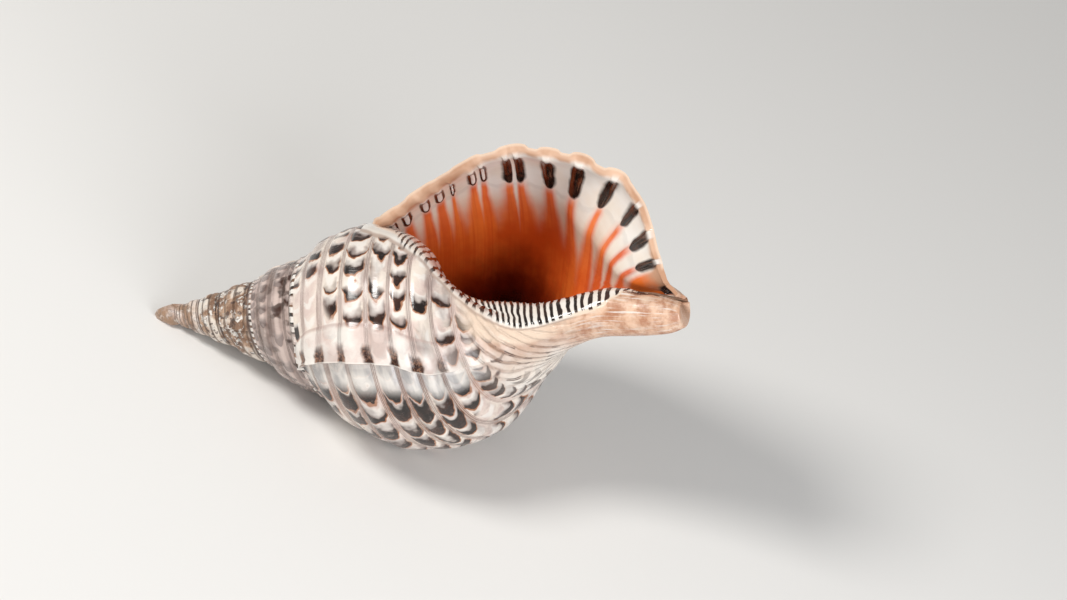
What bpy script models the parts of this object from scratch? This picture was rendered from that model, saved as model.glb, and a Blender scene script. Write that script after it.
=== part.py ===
"""Triton trumpet shell: one closed solid, lying on its body whorl and apex with the aperture upwards.

The shell is a logarithmic spiral. It is first built with its axis along X, the apex at the origin and
the siphonal canal towards +X. A place on its surface has two coordinates:
  turn    growth, in turns before the outer lip: 0 at the lip, -1 one whorl earlier, and so on;
  across  place on the whorl's section: 0 at the suture, 1 where the next whorl's suture lies, and 1 to 2
          over the base to the tip of the canal, which only the last whorl shows.
The section at (turn, 1) meets the section at (turn + 1, 0), so the sheets of the surface weld there.
Every sheet is a grid whose points are laid on that surface.
"""
import math

import bmesh
import bpy
from mathutils import Euler, Vector

MM = 0.001

# Growth
EXPANSION = 1.46            # size of each whorl over the one before it
WHORLS = 6                  # whorls below the rounded apex
YOUNG_WIDTH = 0.78          # the spire starts slimmer than the body whorl by this factor
WIDTH_GAIN = 0.32           # and gains this much
WIDTH_GAIN_FROM = -2.6      # from this turn
WIDTH_GAIN_TURNS = 3.9      # over this much growth
LIP_ANGLE = math.radians(90.0)      # the lip's place round the axis, from +Y towards +Z
APEX_TIP = 0.5 * MM         # the worn apex ends here on the axis
APEX_RINGS = ((11.5 * MM, 6.1 * MM), (6.5 * MM, 4.5 * MM), (2.6 * MM, 2.8 * MM))    # axial place, radius

# The section at full growth. The columns are: place across; axial place and radius in mm; how far the
# flared lip leads it, axially and radially, in mm; the rate at which the axial place follows the spiral;
# and how far the radius changes behind the inner lip, in mm.
SUTURE_AXIAL = 130.4
SUTURE_RADIUS = 53.8
SECTION = (
    (0.00, SUTURE_AXIAL, SUTURE_RADIUS, 0.0, 0.0, 1.0, 0.0),
    (0.15, 139.4, 57.9, 0.5, 1.4, 1.0, 0.0),
    (0.35, 151.4, 68.2, 4.0, 0.8, 1.0, 0.0),
    (0.60, 166.4, 73.8, 5.4, 4.4, 1.0, 0.0),
    (0.80, 178.4, 76.2, 6.4, 7.2, 1.0, 0.0),
    (1.00, SUTURE_AXIAL * EXPANSION, SUTURE_RADIUS * EXPANSION, 7.0, 10.0, 1.0, 0.0),
    (1.10, 202.4, 77.8, 6.0, 13.5, 1.0, -3.8),
    (1.20, 215.7, 76.6, 4.0, 16.0, 1.0, -4.0),
    (1.30, 227.4, 73.2, 4.5, 17.5, 1.0, -4.2),
    (1.40, 234.7, 68.0, 9.0, 19.3, 0.9, -9.2),
    (1.50, 239.0, 55.5, 17.0, 26.5, 0.8, -15.2),
    (1.58, 243.0, 43.5, 25.0, 31.5, 0.7, -14.3),
    (1.66, 247.0, 34.5, 34.0, 36.0, 0.6, -11.8),
    (1.74, 251.0, 24.5, 40.0, 34.0, 0.5, -5.2),
    (1.80, 255.0, 20.8, 42.0, 24.5, 0.4, -2.8),
    (1.86, 262.0, 18.3, 40.0, 11.0, 0.3, -1.8),
    (1.91, 275.0, 16.3, 30.0, 4.0, 0.2, -1.5),
    (1.95, 298.0, 15.0, 9.0, 0.8, 0.1, 0.0),
    (1.98, 313.0, 12.6, -4.0, 1.0, 0.06, 0.0),
    (2.00, 320.0, 9.0, -7.0, 1.0, 0.05, 0.0),
)
AXIAL, RADIUS, LEAD_AXIAL, LEAD_RADIUS, RATE, BEHIND_LIP = range(1, 7)
SWELL_TURNS = 0.55          # the last whorl swells towards the lip over this much growth
SWELL_SHARE = 0.45          # and takes this share of the lip's lead
FLARE_TURNS = 0.09          # the lip flares over this much
CANAL_BEND = 11.0 * MM      # the canal leans to the lip's side
CANAL_BEND_FROM = 225.0 * MM
CANAL_BEND_LENGTH = 50.0 * MM

# Relief
RIB_PLACES = (              # place across of each spiral rib's crest, and the rib's number
    (0.0, 0.5),
    (0.13, 1.0),
    (0.40, 2.0),
    (0.735, 3.0),
    (1.03, 4.0),
    (1.18, 5.0),
    (1.30, 6.0),
    (1.41, 7.0),
    (1.51, 8.0),
    (2.0, 13.0),
)
RIB_CREST = 0.25            # half width of a crest, in rib numbers
RIB_SIDE = 0.2              # width of its sloping side
RIB_HEIGHT = 1.4 * MM
RIB_FADE_FROM = 1.45        # the ribs fade out over the base
RIB_FADE = 0.3
RIB_LIP_GAIN = 0.5          # they rise at the lip, which they scallop
WORN_TURNS = 0.8            # the first turns are worn smooth over this much growth
VARIX_TURNS = (-0.668, -1.36, -2.03, -2.70)      # earlier lips, left as ridges
VARIX_HEIGHT = 4.6 * MM
VARIX_RISE = 0.045          # turns over which a varix swells before its sharp edge
VARIX_DROP = 0.009
VARIX_FADE_FROM = 1.3
VARIX_FADE = 0.4
SUTURE_KEEP = 0.08          # a varix dies out this close to a suture
CALLUS_HEIGHT = 1.8 * MM    # the glaze of the inner lip
CALLUS_EDGE = 0.03          # turns over which its margin thins out
CALLUS_START = 0.06         # place across over which it starts at the suture
CALLUS_ROLL = 0.11          # turns over which it rolls over into the aperture
CALLUS_SPREAD = ((1.0, 0.09), (1.3, 0.125), (1.5, 0.17), (1.66, 0.235), (1.8, 0.28), (1.9, 0.28), (2.0, 0.12))

# Hollow
WALL = 3.2 * MM
LIP_WALL = 4.6 * MM
LIP_WALL_TURNS = 0.08       # the thick lip thins to the wall over this much
CANAL_WALL = 0.55           # the wall thins to this share at the canal
CANAL_WALL_FROM = 1.7
CANAL_WALL_ACROSS = 0.3
HOLLOW_TURNS = 0.86         # how far back the hollow reaches
HOLLOW_END_ACROSS = 1.62    # where its section ends over the base, deep inside
HOLLOW_LEAVE = 0.07         # it leaves the canal from this turn
HOLLOW_LEAVE_TURNS = 0.2    # over this much
CANAL_SLOT_TURNS = 0.14     # how far the canal's slot reaches under the lip
CORNER_OUTER = 0.16         # the hollow's corner keeps off the suture by this much across, outside
CORNER_INNER = 0.12         # and inside
CORNER_TURNS = 0.06

# Grid
STEPS = 31                  # even growth steps in a turn
LIP_STATIONS = (0.012, 0.05, 0.08)
STATION_GAP = 0.0149        # an even step this close to another station is left out
RIB_STATIONS = (            # at the crests' edges and in the grooves, over the ribbed part of the section
    0.0, 0.06, 0.20, 0.265, 0.33, 0.48, 0.5675, 0.65, 0.81, 0.885, 0.95, 1.0,
    1.075, 1.135, 1.216, 1.264, 1.333, 1.377, 1.44, 1.48,
)
BASE_STATIONS = (1.54, 1.59, 1.64, 1.69, 1.74, 1.80, 1.86, 1.91, 1.95, 1.98, 2.0)
NORMAL_STEP = 0.004
WELD = 0.001 * MM
APEX_END = 30.0 * MM        # the open rims lie in these stretches of the axis
HOLLOW_END = 60.0 * MM
CANAL_END = 300.0 * MM

# Resting place
REST_TURN = Euler((math.radians(-34.0), math.radians(-24.3), 0.0))
REST_FLAT = 1.8 * MM        # depth of the flat spots where it touches
REST_BETWEEN = 60.0 * MM    # a place along X between the two spots
REST_MIDDLE = Vector((144.57, 8.63, 0.0)) * MM        # the box's middle before it moves to the origin
FAR = 1.0

SHELL_COLOUR = (0.78, 0.62, 0.50, 1.0)
SHELL_ROUGHNESS = 0.32
SHARP = math.radians(50.0)


def smooth(x):
    x = min(max(x, 0.0), 1.0)
    return x * x * (3.0 - 2.0 * x)


def knot_slope(knots, column, i):
    if i < 0 or i + 1 >= len(knots):
        return None
    return (knots[i + 1][column] - knots[i][column]) / (knots[i + 1][0] - knots[i][0])


def tangent(knots, column, i):
    """Slope of a curve at knot i that never overshoots its knots."""
    before = knot_slope(knots, column, i - 1)
    after = knot_slope(knots, column, i)
    if before is None:
        return after
    if after is None:
        return before
    if before * after <= 0.0:
        return 0.0
    return 2.0 * before * after / (before + after)


def curve(knots, column, x):
    """Smooth curve through one column of the knots, whose first column is x."""
    i = 0
    while i < len(knots) - 2 and x > knots[i + 1][0]:
        i += 1
    step = knots[i + 1][0] - knots[i][0]
    t = min(max((x - knots[i][0]) / step, 0.0), 1.0)
    low = knots[i][column] * (1.0 + 2.0 * t) * (1.0 - t) ** 2
    high = knots[i + 1][column] * t * t * (3.0 - 2.0 * t)
    leave = tangent(knots, column, i) * step * t * (1.0 - t) ** 2
    arrive = tangent(knots, column, i + 1) * step * t * t * (1.0 - t)
    return low + high + leave - arrive


def callus_ahead(turn, across):
    """How far a place lies inside the callus margin, in turns."""
    return curve(CALLUS_SPREAD, 1, across) - (turn + 1.0)


def smooth_place(turn, across):
    """The surface without its relief."""
    size = EXPANSION ** turn
    swell = SWELL_SHARE * smooth(1.0 + turn / SWELL_TURNS)
    flare = (1.0 - SWELL_SHARE) * smooth(1.0 + turn / FLARE_TURNS)
    lead = (swell + flare) * size
    grown = (turn + min(across, 1.0) - WIDTH_GAIN_FROM) / WIDTH_GAIN_TURNS
    width = YOUNG_WIDTH + WIDTH_GAIN * smooth(grown)
    axial = curve(SECTION, AXIAL, across) * EXPANSION ** (curve(SECTION, RATE, across) * turn)
    axial = (axial + lead * curve(SECTION, LEAD_AXIAL, across)) * MM
    radius = curve(SECTION, RADIUS, across) * size * width + lead * curve(SECTION, LEAD_RADIUS, across)
    if across > 1.0:
        inside = smooth(callus_ahead(turn, across) / CALLUS_ROLL)
        radius += curve(SECTION, BEHIND_LIP, across) * inside * EXPANSION ** (turn + 1.0)
    radius *= MM
    angle = LIP_ANGLE + math.tau * turn
    bend = CANAL_BEND * smooth((axial - CANAL_BEND_FROM) / CANAL_BEND_LENGTH)
    return Vector((axial, radius * math.cos(angle), radius * math.sin(angle) + bend))


def outward(turn, across):
    low = max(across - NORMAL_STEP, 0.0)
    high = min(across + NORMAL_STEP, 2.0)
    along = smooth_place(turn + NORMAL_STEP, across) - smooth_place(turn - NORMAL_STEP, across)
    over = smooth_place(turn, high) - smooth_place(turn, low)
    return along.cross(over).normalized()


def rib_relief(turn, across):
    number = curve(RIB_PLACES, 1, across)
    wave = 1.0 - smooth((abs(number - round(number)) - RIB_CREST) / RIB_SIDE)
    fade = 1.0 - smooth((across - RIB_FADE_FROM) / RIB_FADE)
    gain = 1.0 + RIB_LIP_GAIN * smooth(1.0 + turn / FLARE_TURNS)
    grown = EXPANSION ** (turn + min(across, 1.0) - 1.0)
    return RIB_HEIGHT * grown * wave * fade * gain * suture_window(turn, across)


def suture_window(turn, across):
    """1 on the whorl, 0 at its sutures. The last whorl has no suture over its base."""
    below = smooth(across / SUTURE_KEEP)
    last_whorl = smooth((turn + 1.0) / SUTURE_KEEP)
    above = smooth((1.0 - across) / SUTURE_KEEP)
    return below * max(above, last_whorl)


def varix_relief(turn, across):
    height = 0.0
    for place in VARIX_TURNS:
        before = place - turn
        if 0.0 <= before < VARIX_RISE:
            height = smooth(1.0 - before / VARIX_RISE)
        elif -VARIX_DROP < before < 0.0:
            height = smooth(1.0 + before / VARIX_DROP)
    fade = 1.0 - smooth((across - VARIX_FADE_FROM) / VARIX_FADE)
    return VARIX_HEIGHT * EXPANSION ** turn * height * fade * suture_window(turn, across)


def callus_relief(turn, across):
    """The inner lip's glaze, laid on the base in front of the aperture and carried on inside it."""
    if across <= 1.0:
        return 0.0
    edge = smooth(callus_ahead(turn, across) / CALLUS_EDGE)
    return CALLUS_HEIGHT * edge * smooth((across - 1.0) / CALLUS_START)


def outer_place(turn, across):
    callus = callus_relief(turn, across)
    ribs = rib_relief(turn, across) * (1.0 - callus / CALLUS_HEIGHT)
    grown = smooth((turn + WHORLS) / WORN_TURNS)
    relief = (ribs + varix_relief(turn, across)) * grown + callus
    return smooth_place(turn, across) + outward(turn, across) * relief


def hollow_across(depth, across):
    """Inside, the hollow's section leaves the suture and the canal."""
    if across <= 1.0:
        corner = CORNER_OUTER * smooth(depth / CORNER_TURNS)
        return corner + (1.0 - corner) * across
    deep = smooth((depth - HOLLOW_LEAVE) / HOLLOW_LEAVE_TURNS)
    end = 2.0 + (HOLLOW_END_ACROSS - 2.0) * deep
    return 1.0 + (across - 1.0) * (end - 1.0)


def hollow_outer_place(depth, across):
    """Inner side of the whorl's outer wall, depth turns back from the lip."""
    if depth == 0.0:
        return outer_place(0.0, across)
    wall = WALL + (LIP_WALL - WALL) * smooth(1.0 - depth / LIP_WALL_TURNS)
    wall *= 1.0 - (1.0 - CANAL_WALL) * smooth((across - CANAL_WALL_FROM) / CANAL_WALL_ACROSS)
    place = hollow_across(depth, across)
    return smooth_place(-depth, place) - outward(-depth, place) * wall


def hollow_inner_place(depth, across):
    """The whorl before, seen from inside the aperture."""
    if across == 1.0:
        return hollow_outer_place(depth, 0.0)
    corner = CORNER_INNER * smooth(depth / CORNER_TURNS) * (2.0 - across)
    place = hollow_across(depth, across) + corner
    turn = -1.0 - depth
    return smooth_place(turn, place) + outward(turn, place) * callus_relief(-1.0, place)


def canal_floor_place(depth, side):
    """Across the hollow's anterior end, from its outer wall to its inner one."""
    return hollow_inner_place(depth, 2.0) if side else hollow_outer_place(depth, 2.0)


def canal_rim_place(depth, side):
    """Across the thickness of the canal's outer wall, at its tip."""
    return outer_place(-depth, 2.0) if side else hollow_outer_place(depth, 2.0)


def turn_stations():
    """Growth stations of one turn, the same in each so that the whorls meet point to point."""
    fixed = list(LIP_STATIONS)
    for place in VARIX_TURNS:
        fixed += [-place % 1.0, (-place - VARIX_DROP) % 1.0]
    even = [i / STEPS for i in range(1, STEPS)]
    clear = [value for value in even if all(abs(value - other) > STATION_GAP for other in fixed)]
    return sorted([0.0, 1.0] + fixed + clear)


def sheet(mesh, rows, columns, place):
    """A grid laid on the surface: place(row, column) gives each point."""
    last_row = len(rows) - 1
    last_column = len(columns) - 1
    made = bmesh.ops.create_grid(mesh, x_segments=last_row, y_segments=last_column, size=0.5)
    for vert in made["verts"]:
        row = rows[round((vert.co.x + 0.5) * last_row)]
        column = columns[round((vert.co.y + 0.5) * last_column)]
        vert.co = place(row, column)


def weld(mesh):
    bmesh.ops.remove_doubles(mesh, verts=mesh.verts, dist=WELD)


def surface():
    """The outside, the hollow's walls and the canal's rim, welded, with three rims still open."""
    mesh = bmesh.new()
    across = RIB_STATIONS + BASE_STATIONS
    exposed = [value for value in across if value <= 1.0]
    base = [value for value in across if value >= 1.0]
    stations = turn_stations()
    depths = [value for value in stations if value <= HOLLOW_TURNS]
    slot = [value for value in depths if value <= CANAL_SLOT_TURNS]
    deep = [value for value in depths if value >= slot[-1]]
    for whorl in range(1, WHORLS):
        sheet(mesh, [-whorl - value for value in stations], exposed, outer_place)
    sheet(mesh, [-value for value in stations], across, outer_place)
    sheet(mesh, depths, across, hollow_outer_place)
    sheet(mesh, depths, base, hollow_inner_place)
    sheet(mesh, deep, (0.0, 1.0), canal_floor_place)
    sheet(mesh, slot, (0.0, 1.0), canal_rim_place)
    weld(mesh)
    return mesh


def rim(mesh, low, high):
    """Open edges that start between two places along X."""
    return [edge for edge in mesh.edges if edge.is_boundary and low <= edge.verts[0].co.x < high]


def round_apex(mesh):
    """Rings drawn in from the first whorl to a blunt tip."""
    for axial, radius in APEX_RINGS:
        made = bmesh.ops.extrude_edge_only(mesh, edges=rim(mesh, 0.0, APEX_END))["geom"]
        for vert in [item for item in made if isinstance(item, bmesh.types.BMVert)]:
            angle = math.atan2(vert.co.z, vert.co.y)
            vert.co = Vector((axial, radius * math.cos(angle), radius * math.sin(angle)))
        weld(mesh)
    cap = bmesh.ops.contextual_create(mesh, geom=rim(mesh, 0.0, APEX_END))["faces"]
    tip = bmesh.ops.poke(mesh, faces=cap)["verts"][0]
    tip.co = Vector((APEX_TIP, 0.0, 0.0))


def close_with_face(mesh, edges):
    cap = bmesh.ops.contextual_create(mesh, geom=edges)["faces"]
    bmesh.ops.triangulate(mesh, faces=cap)


def rest(mesh):
    """Turn the shell to lie on its body whorl and apex, and flatten the places that touch."""
    bmesh.ops.rotate(mesh, verts=mesh.verts, matrix=REST_TURN.to_matrix())
    floor = Vector((0.0, 0.0, min(vert.co.z for vert in mesh.verts) + REST_FLAT))
    bmesh.ops.bisect_plane(
        mesh,
        geom=mesh.verts[:] + mesh.edges[:] + mesh.faces[:],
        dist=WELD,
        plane_co=floor,
        plane_no=(0.0, 0.0, 1.0),
        clear_inner=True,
    )
    close_with_face(mesh, rim(mesh, -FAR, REST_BETWEEN))
    close_with_face(mesh, rim(mesh, REST_BETWEEN, FAR))
    bmesh.ops.translate(mesh, verts=mesh.verts, vec=-REST_MIDDLE - floor)


def material():
    pearl = bpy.data.materials.new("shell")
    pearl.use_nodes = True
    finish = pearl.node_tree.nodes["Principled BSDF"]
    finish.inputs["Base Color"].default_value = SHELL_COLOUR
    finish.inputs["Roughness"].default_value = SHELL_ROUGHNESS
    finish.inputs["Metallic"].default_value = 0.0
    return pearl


def shell_object():
    mesh = surface()
    round_apex(mesh)
    close_with_face(mesh, rim(mesh, HOLLOW_END, CANAL_END))
    close_with_face(mesh, rim(mesh, CANAL_END, FAR))
    bmesh.ops.recalc_face_normals(mesh, faces=mesh.faces)
    if mesh.calc_volume(signed=True) < 0.0:
        bmesh.ops.reverse_faces(mesh, faces=mesh.faces)
    rest(mesh)
    bmesh.ops.triangulate(mesh, faces=mesh.faces)
    data = bpy.data.meshes.new("shell")
    mesh.to_mesh(data)
    mesh.free()
    data.materials.append(material())
    data.shade_smooth()
    data.set_sharp_from_angle(angle=SHARP)
    return bpy.data.objects.new("shell", data)


def main():
    for item in list(bpy.data.objects):
        bpy.data.objects.remove(item, do_unlink=True)
    group = bpy.data.collections.new("triton_trumpet_shell")
    bpy.context.scene.collection.children.link(group)
    group.objects.link(shell_object())


main()
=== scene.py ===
"""Triton trumpet shell: its finished surface, with the stage that it lies on.

The shell is the same logarithmic spiral as the solid. A place on it has two coordinates:
  turn    growth, in turns before the outer lip: 0 at the lip, -1 one whorl earlier;
  across  place on the whorl's section: 0 at the suture, 1 at the next whorl's suture, 2 at the canal's tip.
Grids are laid on that surface with its ribs, varices, glaze and teeth, and each carries UV maps that say
where on the shell it is, which the finishes read:
  growth  turn, across
  ribs    rib number (a whole number on each crest), swelling before a varix
  glaze   number of the dark line on the inner lip, turns inside the glaze's margin
  lip     inside, number of the tooth and centimetres in from the lip's edge;
          outside, turns past the last varix
"""
import math

import bmesh
import bpy
import numpy as np
from bpy.props import FloatProperty, FloatVectorProperty, PointerProperty
from mathutils import Euler, Matrix, Vector


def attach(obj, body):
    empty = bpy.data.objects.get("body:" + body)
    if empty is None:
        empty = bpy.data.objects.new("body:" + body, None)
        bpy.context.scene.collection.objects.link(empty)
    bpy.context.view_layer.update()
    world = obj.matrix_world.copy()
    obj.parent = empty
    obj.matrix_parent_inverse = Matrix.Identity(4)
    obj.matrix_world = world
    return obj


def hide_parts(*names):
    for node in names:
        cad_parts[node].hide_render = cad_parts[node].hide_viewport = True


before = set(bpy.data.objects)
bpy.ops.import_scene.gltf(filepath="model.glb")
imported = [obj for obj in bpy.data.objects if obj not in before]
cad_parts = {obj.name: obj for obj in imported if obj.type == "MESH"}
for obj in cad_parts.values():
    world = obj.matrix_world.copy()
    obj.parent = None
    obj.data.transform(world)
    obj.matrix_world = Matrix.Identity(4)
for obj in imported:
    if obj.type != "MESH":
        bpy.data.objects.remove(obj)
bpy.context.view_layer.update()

bl_info = {
    "name": "Triton trumpet shell",
    "version": (1, 0, 0),
    "blender": (4, 5, 0),
    "location": "3D View > Sidebar > Shell",
    "description": "Lays the finished surface of a triton trumpet shell over its solid, on a plain stage",
    "category": "Object",
}

MM = 0.001

# Growth
EXPANSION = 1.46
WHORLS = 6
YOUNG_WIDTH = 0.78
WIDTH_GAIN = 0.32
WIDTH_GAIN_FROM = -2.6
WIDTH_GAIN_TURNS = 3.9
LIP_ANGLE = math.radians(90.0)
APEX_TIP = 0.5 * MM
APEX_RINGS = ((11.5 * MM, 6.1 * MM), (6.5 * MM, 4.5 * MM), (2.6 * MM, 2.8 * MM))

# The section at full growth. The columns are: place across; axial place and radius in mm; how far the
# flared lip leads it, axially and radially, in mm; the rate at which the axial place follows the spiral;
# and how far the radius changes behind the inner lip, in mm.
SUTURE_AXIAL = 130.4
SUTURE_RADIUS = 53.8
SECTION = (
    (0.00, SUTURE_AXIAL, SUTURE_RADIUS, 0.0, 0.0, 1.0, 0.0),
    (0.15, 139.4, 57.9, 0.5, 1.4, 1.0, 0.0),
    (0.35, 151.4, 68.2, 4.0, 0.8, 1.0, 0.0),
    (0.60, 166.4, 73.8, 5.4, 4.4, 1.0, 0.0),
    (0.80, 178.4, 76.2, 6.4, 7.2, 1.0, 0.0),
    (1.00, SUTURE_AXIAL * EXPANSION, SUTURE_RADIUS * EXPANSION, 7.0, 10.0, 1.0, 0.0),
    (1.10, 202.4, 77.8, 6.0, 13.5, 1.0, -3.8),
    (1.20, 215.7, 76.6, 4.0, 16.0, 1.0, -4.0),
    (1.30, 227.4, 73.2, 4.5, 17.5, 1.0, -4.2),
    (1.40, 234.7, 68.0, 9.0, 19.3, 0.9, -9.2),
    (1.50, 239.0, 55.5, 17.0, 26.5, 0.8, -15.2),
    (1.58, 243.0, 43.5, 25.0, 31.5, 0.7, -14.3),
    (1.66, 247.0, 34.5, 34.0, 36.0, 0.6, -11.8),
    (1.74, 251.0, 24.5, 40.0, 34.0, 0.5, -5.2),
    (1.80, 255.0, 20.8, 42.0, 24.5, 0.4, -2.8),
    (1.86, 262.0, 18.3, 40.0, 11.0, 0.3, -1.8),
    (1.91, 275.0, 16.3, 30.0, 4.0, 0.2, -1.5),
    (1.95, 298.0, 15.0, 9.0, 0.8, 0.1, 0.0),
    (1.98, 313.0, 12.6, -4.0, 1.0, 0.06, 0.0),
    (2.00, 320.0, 9.0, -7.0, 1.0, 0.05, 0.0),
)
AXIAL, RADIUS, LEAD_AXIAL, LEAD_RADIUS, RATE, BEHIND_LIP = range(1, 7)
SWELL_TURNS = 0.55
SWELL_SHARE = 0.45
FLARE_TURNS = 0.09
CANAL_BEND = 11.0 * MM
CANAL_BEND_FROM = 225.0 * MM
CANAL_BEND_LENGTH = 50.0 * MM
NORMAL_STEP = 0.004

# Ribs: place across and rib number, on the body and then where the same number lies at the lip
RIB_PLACES = (
    (0.0, 0.42), (0.13, 1.0), (0.40, 2.0), (0.735, 3.0), (1.03, 4.0), (1.18, 5.0), (1.30, 6.0),
    (1.41, 7.0), (1.51, 8.0), (1.60, 9.0), (1.68, 10.0), (1.76, 11.0), (2.0, 14.0),
)
RIB_AT_LIP = (
    (0.0, 0.0), (0.15, 0.13), (0.37, 0.40), (0.83, 0.735), (1.15, 1.03), (1.32, 1.18), (1.49, 1.30),
    (1.63, 1.41), (1.75, 1.51), (1.86, 1.60), (2.0, 2.0),
)
RIB_CREST = 0.27            # half width of the flat crest, in rib numbers
RIB_SIDE = 0.13             # width of its side
RIB_CROWN = 0.3             # share of its height that is rounded off
RIB_FADE_FROM = 1.5
RIB_FADE = 0.3
SCALLOP_FROM = 0.4          # the lip is scalloped only from here across
SUTURE_KEEP = 0.08
CORD_PLACE = 0.05           # the beaded cord below the suture, its place and half width across
CORD_WIDTH = 0.035
BEADS = 46.0                # beads in a turn
BEAD_MEAN = 0.6             # share of the cord's height, and how far it swings from gap to bead
BEAD_SWING = 0.4
WORN_TURNS = 0.8

# Varices: earlier lips. Each is a place in turns, and the last one winds by so much, by place across
VARIX_TURNS = (-0.668, -1.36, -2.03, -2.70)
VARIX_WINDS = (
    (0.0, 0.035), (0.3, -0.005), (0.6, -0.019), (0.8, -0.024), (1.0, -0.026), (1.2, -0.024), (1.3, -0.014),
    (1.42, 0.0), (1.52, 0.012), (1.7, 0.035), (2.0, 0.045),
)
VARIX_FOLLOW = (0.07, 0.22)     # grid rows follow its line fully this near, and not at all this far off
VARIX_FOLLOW_ACROSS = 0.15
VARIX_RISE = 0.056
VARIX_EDGE = 0.12           # share of the rise taken by the raised edge
VARIX_EDGE_HEIGHT = 0.3
VARIX_DROP = 0.003
VARIX_FADE_FROM = 1.3
VARIX_FADE = 0.45

# The inner lip's glaze
CALLUS_HEIGHT = 1.8 * MM
CALLUS_EDGE = 0.03
CALLUS_START = 0.06
CALLUS_ROLL = 0.11
CALLUS_SPREAD = (
    (1.0, 0.09), (1.3, 0.125), (1.5, 0.17), (1.66, 0.235), (1.8, 0.28), (1.9, 0.28), (2.0, 0.12),
)
CALLUS_END = (1.925, 0.035)     # it narrows to nothing from here across, over this much
CALLUS_RIDGE = 0.012            # half width in turns of the thin toothed ridge along its margin there
CALLUS_RIDGE_FROM = 1.90
RIDGE_MEAN = 0.7                # share of the ridge's height, and how far it swings from gap to tooth
RIDGE_SWING = 0.3
GLAZE_LINES = (                 # place across and number of the dark line there
    (1.0, -7.0), (1.15, -4.5), (1.30, 0.0), (1.33, 1.0), (1.405, 4.0), (1.475, 6.0), (1.56, 9.0),
    (1.645, 12.0), (1.705, 14.0), (1.753, 16.0), (1.79, 18.0), (1.827, 20.0), (1.86, 22.0), (1.883, 24.0),
    (1.905, 26.0), (1.919, 28.0), (1.931, 30.0), (1.943, 32.0), (1.954, 34.0), (2.0, 44.0),
)
RIDGES_FROM = 8.0           # the glaze is folded from this line on
RIDGES_OVER = 5.0
RIDGES_KEEP = 0.03          # inside the aperture they keep their height for so many turns, then fade
RIDGES_FADE = 0.08

# The hollow and the outer lip
WALL = 3.2 * MM
LIP_WALL = 4.6 * MM
LIP_WALL_TURNS = 0.08
LIP_ROUND = 0.011           # turns over which the lip's edge is rounded
CANAL_WALL = 0.55
CANAL_WALL_FROM = 1.7
CANAL_WALL_ACROSS = 0.3
HOLLOW_TURNS = 0.86
HOLLOW_END_ACROSS = 1.62
HOLLOW_LEAVE = 0.07
HOLLOW_LEAVE_TURNS = 0.2
CANAL_SLOT_TURNS = 0.14
CANAL_ROUND = ((0.3 * MM, 0.55 * MM), (0.5 * MM, 0.35 * MM))    # inset and bulge of its tip
CORNER_OUTER = 0.16
CORNER_INNER = 0.12
CORNER_TURNS = 0.06

# Teeth inside the lip: middle and half width of each, across
TEETH = (
    (0.130, 0.028), (0.225, 0.028), (0.375, 0.036), (0.500, 0.038), (0.620, 0.012), (0.810, 0.030),
    (0.910, 0.030), (1.090, 0.020), (1.150, 0.020), (1.310, 0.028), (1.480, 0.030), (1.622, 0.019),
    (1.742, 0.013), (1.815, 0.011), (1.872, 0.010), (1.960, 0.006),
)
TOOTH_HALF = 0.25           # half width of every tooth, in tooth numbers
TOOTH_FOOT = 1.3            # how much wider its foot is
TOOTH_ENDS = ((-0.1, -0.5), (2.1, len(TEETH)))      # tooth numbers run on to these, across and number
TOOTH_FROM = 3.0 * MM
TOOTH_TO = 27.0 * MM
TOOTH_END = 6.0 * MM
FLUTE_LENGTH = 60.0 * MM    # low flutes run on behind the teeth
FLUTE_SHARE = 0.25

# Grid
EVEN_STEPS = 118
LIP_STATIONS = (
    0.0012, 0.0030, 0.0055, 0.0085, 0.0125, 0.017, 0.022, 0.0275, 0.033, 0.039, 0.045, 0.052, 0.06,
)
VARIX_STATIONS = (0.064, 0.056, 0.05, 0.022, 0.011, 0.0065, 0.0032, 0.0, -0.0015, -0.003, -0.007)
STATION_GAP = 0.0028
FINE_COLUMNS = 4001         # places at which the section is measured
SUTURE_COLUMNS = 50
BASE_COLUMNS = 150
DEEP_SHARE = 2              # deep in the hollow only every second station is used
WELD = 0.001 * MM
APEX_END = 30.0 * MM
HOLLOW_END = 60.0 * MM
CANAL_END = 300.0 * MM

# Resting place
REST_TURN = Euler((math.radians(-34.0), math.radians(-24.3), 0.0))
REST_MIDDLE = Vector((144.57, 8.63, -0.1)) * MM
FAR = 1.0
SHARP = math.radians(48.0)

OUTSIDE, INSIDE, INNER_WALL = range(3)
MAPS = ("growth", "ribs", "glaze", "lip")
CENTIMETRES = 100.0
GRID_HALF = 0.5

# What the maps say, in their order, on the faces that close the shell
APEX_MARKS = ((-WHORLS - 0.5, 0.5), (0.5, 0.0), (0.0, -1.0), (-1.0, 0.0))
CANAL_TIP_MARKS = ((-0.5, 2.0), (14.0, 0.0), (34.0, -1.0), (-1.0, 0.0))
HOLLOW_END_MARKS = ((-HOLLOW_TURNS, 1.3), (3.5, 0.0), (5.0, 1.0), (7.5, 40.0))
CANAL_FLOOR_INWARD = 0.2

# Finishes
OUTSIDE_BUMP = 0.9 * MM
INSIDE_BUMP = 0.8 * MM
PAPER_GRAIN = 400.0         # changes in a metre
PAPER_ROUGHNESS = (0.75, 0.9)
NODES_IN_ROW = 12           # how the nodes are set out in the editor
NODE_WIDTH = 180
NODE_HEIGHT = 220

# View: the line of sight, turned from square to the shell's axis, and the picture's lean
VIEW_TURN = math.radians(20.0)
VIEW_LEAN = math.radians(2.0)
VIEW_CENTRE = (214.9 * MM, 15.4 * MM)
VIEW_WIDTH = 605.0 * MM
LENS = 200.0
SENSOR = 36.0
CLIP_START = 0.05
CLIP_END = 50.0

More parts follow.
